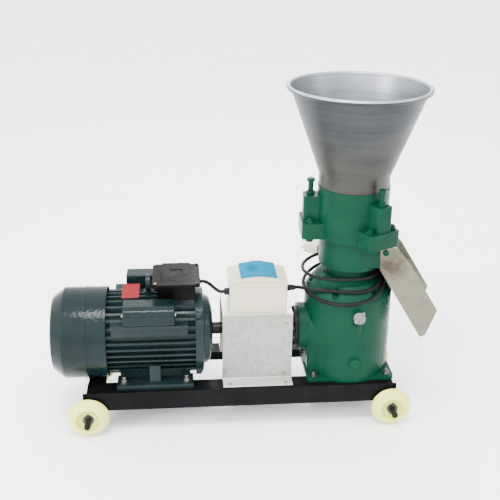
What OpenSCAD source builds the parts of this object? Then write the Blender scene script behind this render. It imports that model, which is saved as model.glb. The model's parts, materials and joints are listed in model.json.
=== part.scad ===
// Feed pellet mill: a motor drives a flat die through a coupling and a
// bevel gearbox, all bolted to a low frame on four small wheels.
// Millimetres, +Z up, X along the machine, origin on the floor at its centre.

/* [Frame] */
// Length of each side rail
rail_length = 696; // [696:1:706]
// Height of the rails' top faces above the floor
rail_top = 103; // [102.5:0.5:105]
// Leg length of the rail angle
rail_leg = 45; // [44:0.5:46]
// Thickness of the rail angle
rail_wall = 5; // [4:0.5:6]
// Distance from the centre line to the rails' outer faces
frame_half = 107; // [106:0.5:108]

/* [Wheels] */
// Radius of each wheel
wheel_radius = 46.5; // [44:0.5:48]
// Width of each wheel
wheel_width = 20; // [18:0.5:24]
// Distance from the middle of the frame to each axle
axle_reach = 345; // [340:1:348]
// Radius of the axles
axle_radius = 7; // [6:0.5:7.5]

/* [Motor] */
// Height of the motor shaft above the rails
shaft_height = 100; // [99.5:0.5:102]
// Left end of the fan cover
cover_left = -422; // [-426:1:-420]
// Length of the fan cover
cover_length = 122; // [121:1:126]
// Radius of the fan cover
cover_radius = 104; // [102:0.5:104]
// Right end of the finned housing
housing_right = -103; // [-105:0.5:-101]
// Outer radius of the fins
fin_radius = 96; // [94:0.5:96.5]
// Outer radius of the housing wall
housing_radius = 84; // [83:0.5:86]
// Radius of the motor's shaft end
shaft_radius = 14; // [13:0.5:14.5]
// Distance between the foot bolts along the machine
foot_span = 140; // [138:1:142]
// Distance between the foot bolts across the machine
foot_gauge = 160; // [156:1:164]
// Middle of the motor foot along the machine
foot_middle = -195; // [-197:1:-193]

/* [Terminal box] */
// Left edge of the box lid
lid_left = -197; // [-199:1:-196]
// Length of the box lid
lid_length = 106; // [104:1:108]
// Width of the box lid
lid_width = 116; // [112:1:118]
// Height of the box body
box_height = 35; // [33:0.5:37]

/* [Guard and switch] */
// Left edge of the coupling guard
guard_left = -42.5; // [-44:0.5:-41]
// Length of the coupling guard
guard_length = 159; // [156:1:161]
// Width of the coupling guard
guard_width = 127; // [125:0.5:129]
// Height of the guard above the rails
guard_height = 163.5; // [162:0.5:166]
// Thickness of the guard sheet
guard_sheet = 2; // [1.5:0.5:2.5]
// Length of the switch box
switch_length = 129; // [127:1:131]
// Width of the switch box
switch_width = 95; // [94:0.5:98]
// Height of the switch box body
switch_height = 65.5; // [65:0.5:68]
// Rise of the arched switch lid
switch_rise = 12; // [11:0.5:13]

/* [Gearbox] */
// Place of the upright main shaft along the machine
head_x = 251; // [250:0.5:252]
// Radius of the gearbox body
gearbox_radius = 100; // [99:0.5:101]
// Height of the gearbox body
gearbox_height = 189; // [188:0.5:191]
// Height of the gearbox cover up to its neck
cover_rise = 52; // [51:0.5:53]
// Radius of the neck below the die chamber
neck_radius = 50; // [49:0.5:51]
// Length of the gearbox foot
gear_foot_length = 201; // [200:0.5:203]
// Width of the gearbox foot
gear_foot_width = 181; // [178:1:184]
// Gearbox bolt distance along the machine
gear_bolt_span = 169; // [167:0.5:171]
// Gearbox bolt distance across the machine
gear_bolt_gauge = 154; // [152:1:156]

/* [Pellet head] */
// Height of the neck under the die chamber
neck_height = 23.5; // [23:0.5:25]
// Outer radius of the die chamber
chamber_radius = 71.5; // [71:0.5:72]
// Height of the die chamber below its flange
chamber_height = 67.5; // [67:0.5:69]
// Outer radius of the roller chamber
drum_radius = 80; // [79:0.5:81]
// Height of the roller chamber with its flange
drum_height = 115.5; // [114:0.5:117]
// Wall thickness of both chambers
drum_wall = 7; // [6.5:0.5:7]
// Thickness of the die
die_thickness = 22; // [21:0.5:22]
// Radius of the press rollers
roller_radius = 30; // [29:0.5:30]
// Width of the press rollers
roller_width = 32; // [30:0.5:32]
// Angle of the first roller lug, seen from above
lug_angle = 178; // [176:1:180]
// Radius of the pressure screws
screw_radius = 6; // [5:0.5:6.5]
// Lift of the rollers when the screws are backed off
roller_lift = 4; // [2:0.5:4]

/* [Chute] */
// Turn of the chute towards the front
chute_turn = 6.2; // [5:0.1:8]
// Outer width of the chute
chute_width = 130; // [128:0.5:132]
// Thickness of the chute sheet
chute_sheet = 1.5; // [1:0.5:2]
// Reach of the chute tip from the head's centre
chute_reach = 197.5; // [194:0.5:200]
// Height of the chute tip above the rails
chute_tip = 173; // [170:0.5:176]

/* [Hopper] */
// Outer radius of the hopper rim
rim_radius = 155.5; // [155:0.5:158]
// Height of the hopper from its seat to its rim
hopper_height = 219; // [210:1:220]
// Height of the straight collar
collar_height = 26; // [24:0.5:28]
// Thickness of the hopper sheet
hopper_sheet = 1.5; // [1.2:0.1:1.6]

/* [Clearances] */
// Gap between a turning shaft and its hole
running_gap = 0.05; // [0.02:0.01:0.08]
// Gap between separate bodies
free_gap = 0.4; // [0.4:0.1:0.6]

/* [Hidden] */
$fn = 64;
overrun = 2;
crown_pitch = 62.4;
lug_reach = 95.7;
roller_axle = 10;
stator_radius = 78;
bead_radius = 4.75;
rotor_radius = 48.5;

// Levels that several pieces share
axle_z = wheel_radius;
shaft_z = rail_top + shaft_height;
rail_inner = frame_half - rail_wall;
rail_bottom = rail_top - rail_leg;
flange_inner = frame_half - rail_leg;
chute_side = chute_width / 2;
right_end = head_x + chute_reach * cos(chute_turn) + chute_side * sin(chute_turn);
middle_x = (cover_left + right_end) / 2;

// Frame brackets, washers and split pins
bracket_wall = 5;
bracket_radius = 12;
wheel_room = 5;
washer_wall = 1.6;
washer_radius = 13;
outer_pin_radius = 1.6;
inner_pin_radius = 1.2;
pin_half = 10.5;
wheel_side = frame_half + wheel_room;
hub_share = 0.6;
hub_face = wheel_side + hub_share * wheel_width;
outer_pin_y = hub_face + free_gap + washer_wall + outer_pin_radius;
axle_stub = 26;
axle_half = outer_pin_y + axle_stub;
inner_pin_y = frame_half + inner_pin_radius + free_gap / 2;
wheel_shares = [[0, 0], [0.4, 0], [0.45, 0.2], [0.8, 0.2], [0.86, 0], [0.95, 0], [1, 0.06],
  [1, 0.14], [0.97, 0.3], [0.9, 0.53], [0.8, 0.78], [0.7, 0.94], [0.62, 1], [0.56, 0.95],
  [0.53, 0.5], [0.4, 0.45], [0.37, hub_share], [0, hub_share]];

// Motor housing, fins and foot
housing_left = cover_left + cover_length;
housing_long = housing_right - housing_left;
fin_pitch = 15.5;
fin_wall = 4.5;
fin_rows = 4;
foot_thick = 11;
foot_length = 171;
foot_half = 97;
foot_web_inside = 50;
foot_web_wall = 9;
foot_web_height = 46;
foot_rib = 24;
foot_corner = 6;
motor_bolt = 5;
pad_height = 197;
pad_top = rail_top + pad_height;
pad_length = 80;
pad_width = 92;
pad_depth = 26;
eye_x = -207;
eye_boss = 13;
plate_left = -266;
plate_length = 39;
plate_width = 74;
plate_wall = 1;
plate_height = 198.5;
plate_top = rail_top + plate_height;
plate_shift = 3;

// End shields and bearings
shield_length = 39;
shield_recess = 10;
shield_shares = [[0.52, 1], [0.77, 0.82], [0.84, 0.51], [1, 0.46], [1, 0], [0.76, 0], [0.76, 0.256]];
ear_reach = 98.5;
ear_radius = 9;
ear_length = 13;
ear_bolt = 3;
spot_depth = 0.5;
bearing_outer = 31;
bearing_inner = 15;
bearing_width = 16;
big_outer = 40;
big_inner = 20;
big_width = 18;
race_share = 0.3;
ball_share = 0.38;
ball_count = 9;
shaft_hole = bearing_inner + free_gap;
rear_shield = 30;
rear_seat = 8;
cover_ear_radius = 7;
cover_ear_x = 9;

// Fan cover and fan
cover_sheet = 1.5;
cover_end_radius = 85;
cover_chamfer = 26;
slot_pitch = 12;
slot_height = 5;
slot_rows = 5;
slot_reach = 74;
bead_x = 76;
bead_half = 2.5;
bead_rise = 1;
fan_place = 50;
fan_width = 24;
fan_radius = 86;
fan_hub = 22;
fan_plate = 2;
fan_plate_share = 0.86;
fan_blades = 7;
blade_wall = 2.5;

// Motor shaft, rotor, stator
core_left = -255;
core_length = 105;
air_gap = 0.5;
winding_radius = 63.5;
winding_size = 11;
shaft_left = -380;
shaft_right = -4;
rear_shaft = 12;
rotor_seat = 20;
rotor_ring = 8;
ring_radius = 44;

// Terminal box, capacitor covers, eye and their screws
box_wall = 3;
box_inset = 10;
box_corner = 9;
lid_corner = 7;
lid_plate = 7;
crown_rise = 3;
crown_length = 64;
crown_front_share = 0.42;
latch_length = 28;
latch_width = 34;
latch_depth = 1.5;
lid_screw_inset = 7;
screw_head = 3.6;
screw_rise = 2.5;
gland_radius = 8;
gland_length = 12;
box_gland_y = 8;
box_gland_drop = 16;
eye_ring = 19;
eye_hole = 10.5;
eye_wall = 10;
eye_rise = 24;
eye_z = pad_top + eye_rise;
eye_collar = 11;
eye_collar_rise = 4;
eye_shank = 7;
cap_left = -260;
cap_length = 112;
cap_reach = 120;
cap_shares = [[0.95, 0.56], [0.66, 0.52], [0.485, 0.66], [0.53, 0.915], [0.84, 0.915], [0.94, 0.875],
  [1, 0.78], [1, 0.62]];
cap_centre_share = [0.76, 0.74];
cap_inner_share = 0.94;
cap_wall = 1.5;
capacitor_radius = 21.2;
capacitor_place = [89, 87];
capacitor_side = 6;
cap_pad_end = 28;
cap_pad_shares = [[0.6, 0.28], [0.79, 0.28], [0.8, 0.44], [0.92, 0.5], [0.93, 0.556], [0.665, 0.5195]];
cap_screw_place = [108, 92];

// Guard, coupling and switch
guard_flange_half = 101;
guard_screw_inset = 16;
guard_screw_y = 91;
panel_low = 12;
panel_drop = 24;
hub_radius = 27;
coupling_radius = 40;
coupling_plate = 10;
coupling_hub = 24;
coupling_gap = 18;
jaw_length = 14;
jaw_half_angle = 26;
jaw_inner = 20;
spider_gap = 1;
spider_bore = 17;
switch_inset = 17;
switch_left = guard_left + switch_inset;
switch_corner = 4;
switch_back = 45;
switch_wall = 2.5;
lid_over = 3;
arch_step = 0.5;
switch_base_z = rail_top + guard_height;
switch_seam_z = switch_base_z + switch_height;
lid_edge = 4;
arch_radius = (switch_length * switch_length / 4 + switch_rise * switch_rise) / (2 * switch_rise);
opening_left = 29;
opening_length = 72;
opening_front = 30;
opening_width = 60;
window_left = 25;
window_length = 82;
window_width = 76;
window_wall = 1.6;
window_rise = 5;
window_back = 38.5;
hinge_radius = 2.4;
hinge_pin = 1.2;
hinge_length = 26;
hinge_lug = 6;
hinge_sink = 2;
breaker_left = 46;
breaker_length = 36;
breaker_back = 36;
breaker_width = 74;
breaker_height = 58;
breaker_nose = 45;
breaker_nose_rise = 7;
toggle_long = 24;
toggle_wall = 4;
toggle_rise = 15;
toggle_radius = 5;
toggle_pin = 1.5;
toggle_drop = 3;
toggle_swing = 8;
toggle_tilt = 28;
window_hinge_x = switch_left + window_left + window_length / 2;
window_hinge_z = switch_seam_z + lid_edge + switch_rise + hinge_radius + free_gap;
breaker_z = switch_base_z + switch_wall;
toggle_z = breaker_z + breaker_height + breaker_nose_rise - toggle_drop;
toggle_y = breaker_back - breaker_width / 2;
switch_gland_y = -34;
switch_gland_height = 46;
switch_gland_z = switch_base_z + switch_gland_height;
cord_gland_y = -20;
cord_gland_height = 45;
cord_gland_z = switch_base_z + cord_gland_height;

// Gearbox
gear_foot_wall = 9;
gear_foot_corner = 8;
gear_bolt = 4;
body_floor = 12;
body_wall = 10;
input_boss = 55;
input_neck = 158;
input_neck_end = 186;
input_neck_radius = 75;
neck_inset = 3;
input_face = 134;
inner_boss = 42;
boss_end = 183;
bearing_inset = 2;
body_z = rail_top + gearbox_height;
neck_z = body_z + cover_rise;
chamber_z = neck_z + neck_height;
cover_rim = 11.7;
cover_shares = [[0.785, 0.81], [0.62, 1]];
cover_inner_shares = [[0.7, 0.55], [0.55, 0.77]];
cover_inner_rim_share = 0.5;
cover_pocket = 8;
upper_seat_drop = 4;
shaft_way = 24;
cover_bolt_reach = 88;
cover_bolt_angle = 61;
cover_bolt_pad = 9;
cover_bolt_rise = 20;
cover_bolt_top = body_z + cover_bolt_rise;
cap_face = 8;
cap_radius = 47;
cap_bolt_reach = 39;
filler_x = 256;
filler_height = 152;
filler_z = rail_top + filler_height;
filler_inside = 16;
filler_radius = 10;
filler_length = 26;
filler_cap = 13.5;
filler_cap_rise = 8;
filler_grip = 6;
filler_tilt = 45;
filler_boss = 12;
filler_drop = 33;
filler_lean = 12;
drain_x = 255;
drain_height = 53;
drain_z = rail_top + drain_height;
drain_radius = 15;
drain_rise = 4;
drain_plug_radius = 11.5;
lower_boss = 48;
lower_seat_z = rail_top + body_floor + bearing_inset;
pinion_teeth = 12;
crown_teeth = 48;
pinion_pitch = crown_pitch * pinion_teeth / crown_teeth;
face_share = 0.69;
blank_share = 1.02;
nose_share = 0.66;
tooth_root_share = 0.86;
tooth_tip_share = 1.1;
tooth_base_share = 0.5;
tooth_top_share = 0.26;
crown_wall = 14;
crown_tooth_rise = 3;
crown_hub = 32;
crown_hub_drop = 16;
shaft_seat = 22;
pinion_shaft_left = shaft_right + coupling_gap;

// Pellet head
flange_thick = 14;
flange_z = chamber_z + chamber_height;
drum_z = flange_z + flange_thick;
drum_top = flange_z + drum_height;
bore_radius = chamber_radius - drum_wall;
drum_bore = drum_radius - drum_wall;
chamber_floor = 8;
floor_hole = 30;
die_gap = 1.5;
die_rise = 1;
die_top = flange_z + die_rise;
die_z = die_top - die_thickness;
die_hole = 3;
die_rows = [[28, 18], [36, 24], [44, 30], [52, 34]];
sweeper_gap = 4;
sweeper_z = chamber_z + chamber_floor + sweeper_gap;
sweeper_wall = 4;
sweeper_radius = 61;
sweeper_vane = 14;
sweeper_vane_wall = 5;
hub_flange = 34;
hub_flange_wall = 12;
nut_radius = 17;
nut_height = 9;
roller_z = die_top + roller_radius + free_gap;
roller_inside = 25;
roller_hub = 20;
roller_hub_half = 15;
roller_groove = 2;
roller_grooves = 24;
axle_end = 107;
lug_width = 38;
lug_out = 112;
ear_out = 116;
ear_width = 82;
ear_height = 36;
ear_top = flange_z + ear_height;
lug_height = 425;
lug_top = rail_top + lug_height;
slot_room = 5;
slot_top = roller_z + roller_axle + roller_lift + slot_room;
slot_gap = 1;
slot_inside = 60;
slot_outside = 108.5;
spigot_height = 12;
chamber_bolt = 5;
chamber_bolt_side = 31;
chamber_bolt_reach = 98;
bolt_end = 4;
lock_nut = 9.5;
lock_nut_height = 8;
screw_head_radius = 9;
screw_head_height = 8;
screw_rise_out = 37;
screw_top = lug_top + screw_rise_out;
lugs = 3;
lug_step = 360 / lugs;

// Chute and its spout
spout_inside = 30;
spout_end = 84;
spout_low = 9;
spout_high = 58;
spout_wall = 4;
chute_start = 60;
chute_shares = [[0.015, -0.349], [0, 0], [0.255, 0.051], [0.487, -0.233], [1, -1.055], [0.841, -1.513],
  [0.753, -1.552]];
chute_run = chute_reach - chute_start;
chute_low_share = 1.055;
floor_top_share = 0.045;
chute_z = rail_top + chute_tip + chute_run * chute_low_share;
chute_bolt_reach = 72;
chute_bolt_drop = 7;
chute_bolt = 4;

// Hopper
hopper_z = drum_top + free_gap;
cone_radius = rim_radius - 2 * bead_radius;

// Nuts and bolt heads as multiples of the bolt's radius
head_share = 1.75;
head_height_share = 1.3;
washer_share = 2.2;
washer_height_share = 0.4;
nut_share = 1.8;
stud_share = 1.4;

// Cords
cord_radius = 4;
cord_sides = 8;
cord_steps = 2;
link_steps = 3;
boot_length = 22;
boot_radius = 8.5;
boot_tip = 5.5;
plug_start = [218, 79, 358];
plug_angle = 140;
plug_relief = 24;
plug_length = 36;
plug_width = 34;
plug_height = 30;
plug_corner = 9;
pin_length = 17;
pin_width = 6;
pin_wall = 2;
pin_side = 7;
link_start = [lid_left + lid_length - box_inset + gland_length, box_gland_y,
  pad_top + box_height - box_gland_drop];
link_end = [switch_left - gland_length, switch_gland_y, switch_gland_z];
link_places = [[-76, 5, 318.5], [-68, -4, 317.5], [-60, -18, 315.5], [-53, -28, 314]];
cord_start = [switch_left + switch_length + boot_length, cord_gland_y, cord_gland_z];
cord_places = [[201, 110, 317], [214, 99, 320], [230, 91, 325], [250, 89, 328], [270, 89, 328],
  [292, 88, 330], [313, 84, 338], [334, 70, 349], [354, 66, 350], [376, 66, 350], [396, 74, 346],
  [414, 81, 341], [432, 86, 337], [456, 89, 333], [480, 92, 328], [505, 97, 321], [530, 103, 314],
  [555, 106, 308], [580, 106, 304], [603, 106, 303], [625, 105, 306], [646, 104, 313], [664, 98, 323.5],
  [680, 88, 332], [697, 77, 341], [716, 75, 342], [736, 77, 343], [750, 84, 346], [764, 88, 348],
  [780, 88, 350], [804, 90, 351], [830, 94, 351], [855, 100, 350], [880, 105, 349], [903, 107, 349],
  [926, 103, 351], [948, 94, 353], [970, 85, 355], [994, 79, 355], [1020, 75, 354], [1046, 68, 356],
  [1072, 61, 359], [1100, 61, 360], [1130, 67, 359], [1158, 71, 359]];
cord_tail = [[240, 71, 359], [226, 73, 358.5]];

module placed() {
  translate([-middle_x, 0, 0])
    children();
}

// Turns local Z along the machine, on the motor's shaft axis
module along_x(x) {
  translate([x, 0, shaft_z])
    lying()
      children();
}

module lying() {
  rotate([0, 90, 0])
    children();
}

// Turns local Z outwards on the near (-1) or far (1) side
module outwards(x, side, y, z) {
  translate([x, side * y, z])
    rotate([-90 * side, 0, 0])
      children();
}

// Places round the upright main shaft
module on_head(z) {
  translate([head_x, 0, z])
    children();
}

module at_head(angle) {
  on_head(0)
    rotate([0, 0, angle])
      children();
}

module ring(outer, inner, height) {
  difference() {
    cylinder(r = outer, h = height);
    translate([0, 0, -overrun])
      cylinder(r = inner, h = height + 2 * overrun);
  }
}

module rounded_square(length, width, corner) {
  square([length - 2 * corner, width], center = true);
  square([length, width - 2 * corner], center = true);
  for (sx = [-1, 1], sy = [-1, 1])
    translate([sx * (length / 2 - corner), sy * (width / 2 - corner)])
      circle(r = corner);
}

module rounded_block(length, width, height, corner) {
  linear_extrude(height)
    rounded_square(length, width, corner);
}

module hex(radius, height) {
  cylinder(r = radius, h = height, $fn = 6);
}

// Bolt from below with its nut and washer on top
module foot_bolt(x, y, low, high, radius) {
  head = radius * head_height_share;
  washer = radius * washer_height_share;
  translate([x, y, low - head])
    hex(radius * head_share, head);
  translate([x, y, low - head])
    cylinder(r = radius, h = high - low + 2 * head + washer + radius * stud_share);
  translate([x, y, high])
    cylinder(r = radius * washer_share, h = washer);
  translate([x, y, high + washer])
    hex(radius * nut_share, head);
}

module foot_holes() {
  for (sx = [-1, 1], sy = [-1, 1])
    translate([foot_middle + sx * foot_span / 2, sy * foot_gauge / 2, rail_top - rail_leg])
      cylinder(r = motor_bolt, h = rail_leg + foot_thick + overrun);
  for (sx = [-1, 1], sy = [-1, 1])
    translate([head_x + sx * gear_bolt_span / 2, sy * gear_bolt_gauge / 2, rail_top - rail_leg])
      cylinder(r = gear_bolt, h = rail_leg + gear_foot_wall + overrun);
}

// Frame

module rail(side) {
  mirror([0, side > 0 ? 1 : 0, 0])
    difference() {
      translate([-rail_length / 2, 0, 0])
        rotate([90, 0, 90])
          linear_extrude(rail_length)
            polygon([[-frame_half, rail_bottom], [-rail_inner, rail_bottom],
              [-rail_inner, rail_top - rail_wall], [-flange_inner, rail_top - rail_wall],
              [-flange_inner, rail_top], [-frame_half, rail_top]]);
      foot_holes();
    }
}

module rail_front() {
  color("#171717") placed() rail(-1);
}

module rail_rear() {
  color("#171717") placed() rail(1);
}

module bracket(x, side) {
  y = side > 0 ? rail_inner - bracket_wall : -rail_inner;
  difference() {
    translate([x, y, 0])
      rotate([-90, 0, 0])
        linear_extrude(bracket_wall) {
          translate([0, -axle_z])
            circle(r = bracket_radius);
          translate([-bracket_radius, rail_wall - rail_top])
            square([2 * bracket_radius, rail_top - rail_wall - axle_z]);
        }
    translate([x, y - overrun, axle_z])
      rotate([-90, 0, 0])
        cylinder(r = axle_radius, h = bracket_wall + 2 * overrun);
  }
}

// Two cross angles and four axle brackets
module cross_members() {
  half = rail_inner - bracket_wall;
  top = rail_top - rail_wall;
  end = rail_length / 2;
  color("#1a1a1a") placed() {
    difference() {
      for (side = [0, 1])
        mirror([side, 0, 0])
          translate([0, half, 0])
            rotate([90, 0, 0])
              linear_extrude(2 * half)
                polygon([[end, rail_bottom], [end, top], [end - rail_leg + rail_wall, top],
                  [end - rail_leg + rail_wall, top - rail_wall], [end - rail_wall, top - rail_wall],
                  [end - rail_wall, rail_bottom]]);
      foot_holes();
    }
    for (sx = [-1, 1], sy = [-1, 1])
      bracket(sx * axle_reach, sy);
  }
}

module axles() {
  color("#222222") placed()
    for (sx = [-1, 1])
      difference() {
        translate([sx * axle_reach, -axle_half, axle_z])
          rotate([-90, 0, 0])
            cylinder(r = axle_radius, h = 2 * axle_half);
        for (sy = [-1, 1]) {
          translate([sx * axle_reach, sy * outer_pin_y, axle_z - axle_radius - overrun])
            cylinder(r = outer_pin_radius, h = 2 * (axle_radius + overrun));
          translate([sx * axle_reach, sy * inner_pin_y, axle_z - axle_radius - overrun])
            cylinder(r = inner_pin_radius, h = 2 * (axle_radius + overrun));
        }
      }
}

// Washers and split pins on both sides of every wheel
module axle_pins() {
  color("#55524c") placed()
    for (sx = [-1, 1], sy = [-1, 1]) {
      outwards(sx * axle_reach, sy, hub_face + free_gap, axle_z)
        ring(washer_radius, axle_radius, washer_wall);
      outwards(sx * axle_reach, sy, wheel_side - free_gap - washer_wall, axle_z)
        ring(washer_radius, axle_radius, washer_wall);
      translate([sx * axle_reach, sy * outer_pin_y, axle_z - pin_half])
        cylinder(r = outer_pin_radius, h = 2 * pin_half);
      translate([sx * axle_reach, sy * inner_pin_y, axle_z - pin_half])
        cylinder(r = inner_pin_radius, h = 2 * pin_half);
    }
}

module wheel(sx, sy) {
  bore = axle_radius + running_gap;
  color("#e1e8be") placed()
    outwards(sx * axle_reach, sy, wheel_side, axle_z)
      difference() {
        rotate_extrude()
          polygon([for (p = wheel_shares) [p[0] * wheel_radius, p[1] * wheel_width]]);
        translate([0, 0, -overrun])
          cylinder(r = bore, h = wheel_width + 2 * overrun);
      }
}

module wheel_front_left() {
  wheel(-1, -1);
}

module wheel_front_right() {
  wheel(1, -1);
}

module wheel_rear_left() {
  wheel(-1, 1);
}

module wheel_rear_right() {
  wheel(1, 1);
}

// Motor

module fin_rows() {
  intersection() {
    along_x(housing_left)
      cylinder(r = fin_radius, h = housing_long);
    for (i = [-fin_rows : fin_rows]) {
      translate([housing_left, -fin_radius, shaft_z + i * fin_pitch - fin_wall / 2])
        cube([housing_long, 2 * fin_radius, fin_wall]);
      translate([housing_left, i * fin_pitch - fin_wall / 2, shaft_z - fin_radius])
        cube([housing_long, fin_wall, 2 * fin_radius]);
    }
  }
}

module motor_foot(side) {
  left = foot_middle - foot_length / 2;
  mirror([0, side > 0 ? 1 : 0, 0]) {
    translate([left, -foot_half, rail_top])
      cube([foot_length, foot_half - foot_web_inside, foot_thick]);
    translate([left + foot_corner, -foot_web_inside - foot_web_wall, rail_top])
      cube([foot_length - 2 * foot_corner, foot_web_wall, foot_web_height]);
    translate([foot_middle - foot_rib / 2, -foot_half + foot_web_wall, rail_top])
      cube([foot_rib, foot_half - foot_web_wall - foot_web_inside, foot_web_height + foot_web_wall]);
  }
}

// Cast ledge that carries a capacitor cover
module cap_pad(side) {
  translate([cap_left - cap_pad_end, 0, shaft_z])
    rotate([90, 0, 90])
      linear_extrude(cap_length + 2 * cap_pad_end)
        polygon([for (p = cap_pad_shares) [side * p[0] * cap_reach, p[1] * cap_reach]]);
}

module motor_housing() {
  color("#3a4f52") placed()
    difference() {
      union() {
        along_x(housing_left)
          cylinder(r = housing_radius, h = housing_long);
        fin_rows();
        motor_foot(-1);
        motor_foot(1);
        cap_pad(-1);
        cap_pad(1);
        translate([lid_left + lid_length / 2 - pad_length / 2, -pad_width / 2, pad_top - pad_depth])
          cube([pad_length, pad_width, pad_depth]);
        translate([eye_x, 0, pad_top - pad_depth])
          cylinder(r = eye_boss, h = pad_depth);
        translate([plate_left, plate_shift - plate_width / 2, plate_top - pad_depth])
          cube([plate_length, plate_width, pad_depth]);
      }
      along_x(housing_left - overrun)
        cylinder(r = stator_radius, h = housing_long + 2 * overrun);
      foot_holes();
    }
}

module shield_ears(reach, radius, length) {
  for (a = [45 : 90 : 315])
    rotate([0, 0, a])
      translate([reach, 0, 0])
        cylinder(r = radius, h = length);
}

module drive_end_shield() {
  color("#3a4f52") placed()
    along_x(housing_right)
      difference() {
        union() {
          rotate_extrude()
            polygon(concat([[0, shield_length]],
              [for (p = shield_shares) [p[0] * fin_radius, p[1] * shield_length]],
              [[0, shield_recess]]));
          shield_ears(ear_reach, ear_radius, ear_length);
        }
        translate([0, 0, shield_recess - overrun])
          cylinder(r = bearing_outer, h = bearing_width + 2 * bearing_inset + overrun);
        cylinder(r = shaft_hole, h = shield_length + overrun);
        shield_ears(ear_reach, ear_bolt, ear_length + overrun);
        translate([0, 0, ear_length - spot_depth])
          shield_ears(ear_reach, ear_bolt * head_share + free_gap, shield_length);
      }
}

module fan_end_shield() {
  color("#3a4f52") placed()
    along_x(housing_left - rear_shield)
      difference() {
        union() {
          translate([0, 0, rear_shield - shield_recess])
            cylinder(r = housing_radius, h = shield_recess);
          cylinder(r = bearing_outer + rear_seat, h = rear_shield);
          for (a = [45 : 90 : 315])
            rotate([0, 0, a])
              translate([0, 0, rear_shield - cover_ear_x])
                lying()
                  cylinder(r = cover_ear_radius, h = cover_radius - cover_sheet - free_gap);
        }
        translate([0, 0, rear_seat])
          cylinder(r = bearing_outer, h = rear_shield);
        translate([0, 0, -overrun])
          cylinder(r = shaft_hole, h = rear_shield);
      }
}

module fan_cover() {
  end = cover_end_radius;
  color("#3a4f52") placed()
    along_x(cover_left)
      difference() {
        union() {
          rotate_extrude()
            polygon([[0, 0], [end, 0], [cover_radius, cover_chamfer], [cover_radius, cover_length],
              [cover_radius - cover_sheet, cover_length],
              [cover_radius - cover_sheet, cover_chamfer + cover_sheet / 2],
              [end - cover_sheet / 2, cover_sheet], [0, cover_sheet]]);
          translate([0, 0, bead_x - bead_half])
            ring(cover_radius + bead_rise, cover_radius - cover_sheet, 2 * bead_half);
        }
        for (i = [-slot_rows : slot_rows]) {
          reach = sqrt(slot_reach * slot_reach - i * i * slot_pitch * slot_pitch);
          translate([i * slot_pitch - slot_height / 2, -reach, -overrun])
            cube([slot_height, reach - slot_height / 2, 2 * overrun + cover_sheet]);
          translate([i * slot_pitch - slot_height / 2, slot_height / 2, -overrun])
            cube([slot_height, reach - slot_height / 2, 2 * overrun + cover_sheet]);
        }
      }
}

module stator_core() {
  color("#7d7d80") placed()
    along_x(core_left)
      ring(stator_radius, rotor_radius + air_gap, core_length);
}

module stator_windings() {
  color("#8c4a24") placed()
    for (x = [core_left - winding_size, core_left + core_length + winding_size])
      along_x(x)
        rotate_extrude()
          translate([winding_radius, 0])
            circle(r = winding_size);
}

// Two races and the balls between them
module bearing(outer, inner, width) {
  depth = outer - inner;
  middle = (outer + inner) / 2;
  ring(outer, outer - depth * race_share, width);
  ring(inner + depth * race_share, inner + running_gap, width);
  for (i = [0 : ball_count - 1])
    rotate([0, 0, i * 360 / ball_count])
      translate([middle, 0, width / 2])
        sphere(r = depth * ball_share / 2);
}

module shaft_bearings() {
  color("#b9bcc0") placed() {
    along_x(housing_right + shield_recess + bearing_inset)
      bearing(bearing_outer, bearing_inner, bearing_width);
    along_x(housing_left - rear_shield + rear_seat + bearing_inset)
      bearing(bearing_outer, bearing_inner, bearing_width);
    for (x = [input_face + bearing_inset, boss_end - bearing_width])
      along_x(x)
        bearing(bearing_outer, bearing_inner, bearing_width);
    for (z = [lower_seat_z, neck_z - upper_seat_drop])
      on_head(z)
        bearing(big_outer, big_inner, big_width);
  }
}

module rotor_core() {
  color("#8d8f92") placed() {
    along_x(core_left)
      ring(rotor_radius, rotor_seat, core_length);
    along_x(core_left - rotor_ring)
      ring(ring_radius, rotor_seat, rotor_ring);
    along_x(core_left + core_length)
      ring(ring_radius, rotor_seat, rotor_ring);
  }
}

module motor_shaft() {
  rear_x = housing_left - rear_shield + rear_seat;
  front_x = housing_right + shield_recess + bearing_inset + bearing_width;
  color("#a9acb0") placed() {
    along_x(shaft_left)
      cylinder(r = rear_shaft, h = rear_x - shaft_left);
    along_x(rear_x)
      cylinder(r = bearing_inner, h = front_x - rear_x);
    along_x(core_left - rotor_ring)
      cylinder(r = rotor_seat, h = core_length + 2 * rotor_ring);
    along_x(front_x)
      cylinder(r = shaft_radius, h = shaft_right - front_x);
  }
}

module cooling_fan() {
  color("#26282a") placed()
    along_x(cover_left + fan_place) {
      ring(fan_hub, rear_shaft, fan_width);
      translate([0, 0, fan_width - fan_plate])
        ring(fan_radius * fan_plate_share, fan_hub, fan_plate);
      for (i = [0 : fan_blades - 1])
        rotate([0, 0, i * 360 / fan_blades])
          translate([fan_hub - bearing_inset, -blade_wall / 2, fan_plate / 2])
            cube([fan_radius - fan_hub + bearing_inset, blade_wall, fan_width - fan_plate]);
    }
}

module box_middle() {
  translate([lid_left + lid_length / 2, 0, pad_top])
    children();
}

module terminal_box() {
  length = lid_length - 2 * box_inset;
  width = lid_width - 2 * box_inset;
  right = lid_left + lid_length - box_inset;
  color("#1d1c1b") placed() {
    box_middle()
      difference() {
        rounded_block(length, width, box_height, box_corner);
        translate([0, 0, box_wall])
          rounded_block(length - 2 * box_wall, width - 2 * box_wall, box_height, box_corner - box_wall);
        translate([length / 2 - 2 * box_wall, box_gland_y, box_height - box_gland_drop])
          lying()
            cylinder(r = cord_radius, h = 3 * box_wall);
      }
    translate([right, box_gland_y, pad_top + box_height - box_gland_drop])
      lying()
        ring(gland_radius, cord_radius, gland_length);
  }
}

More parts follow.
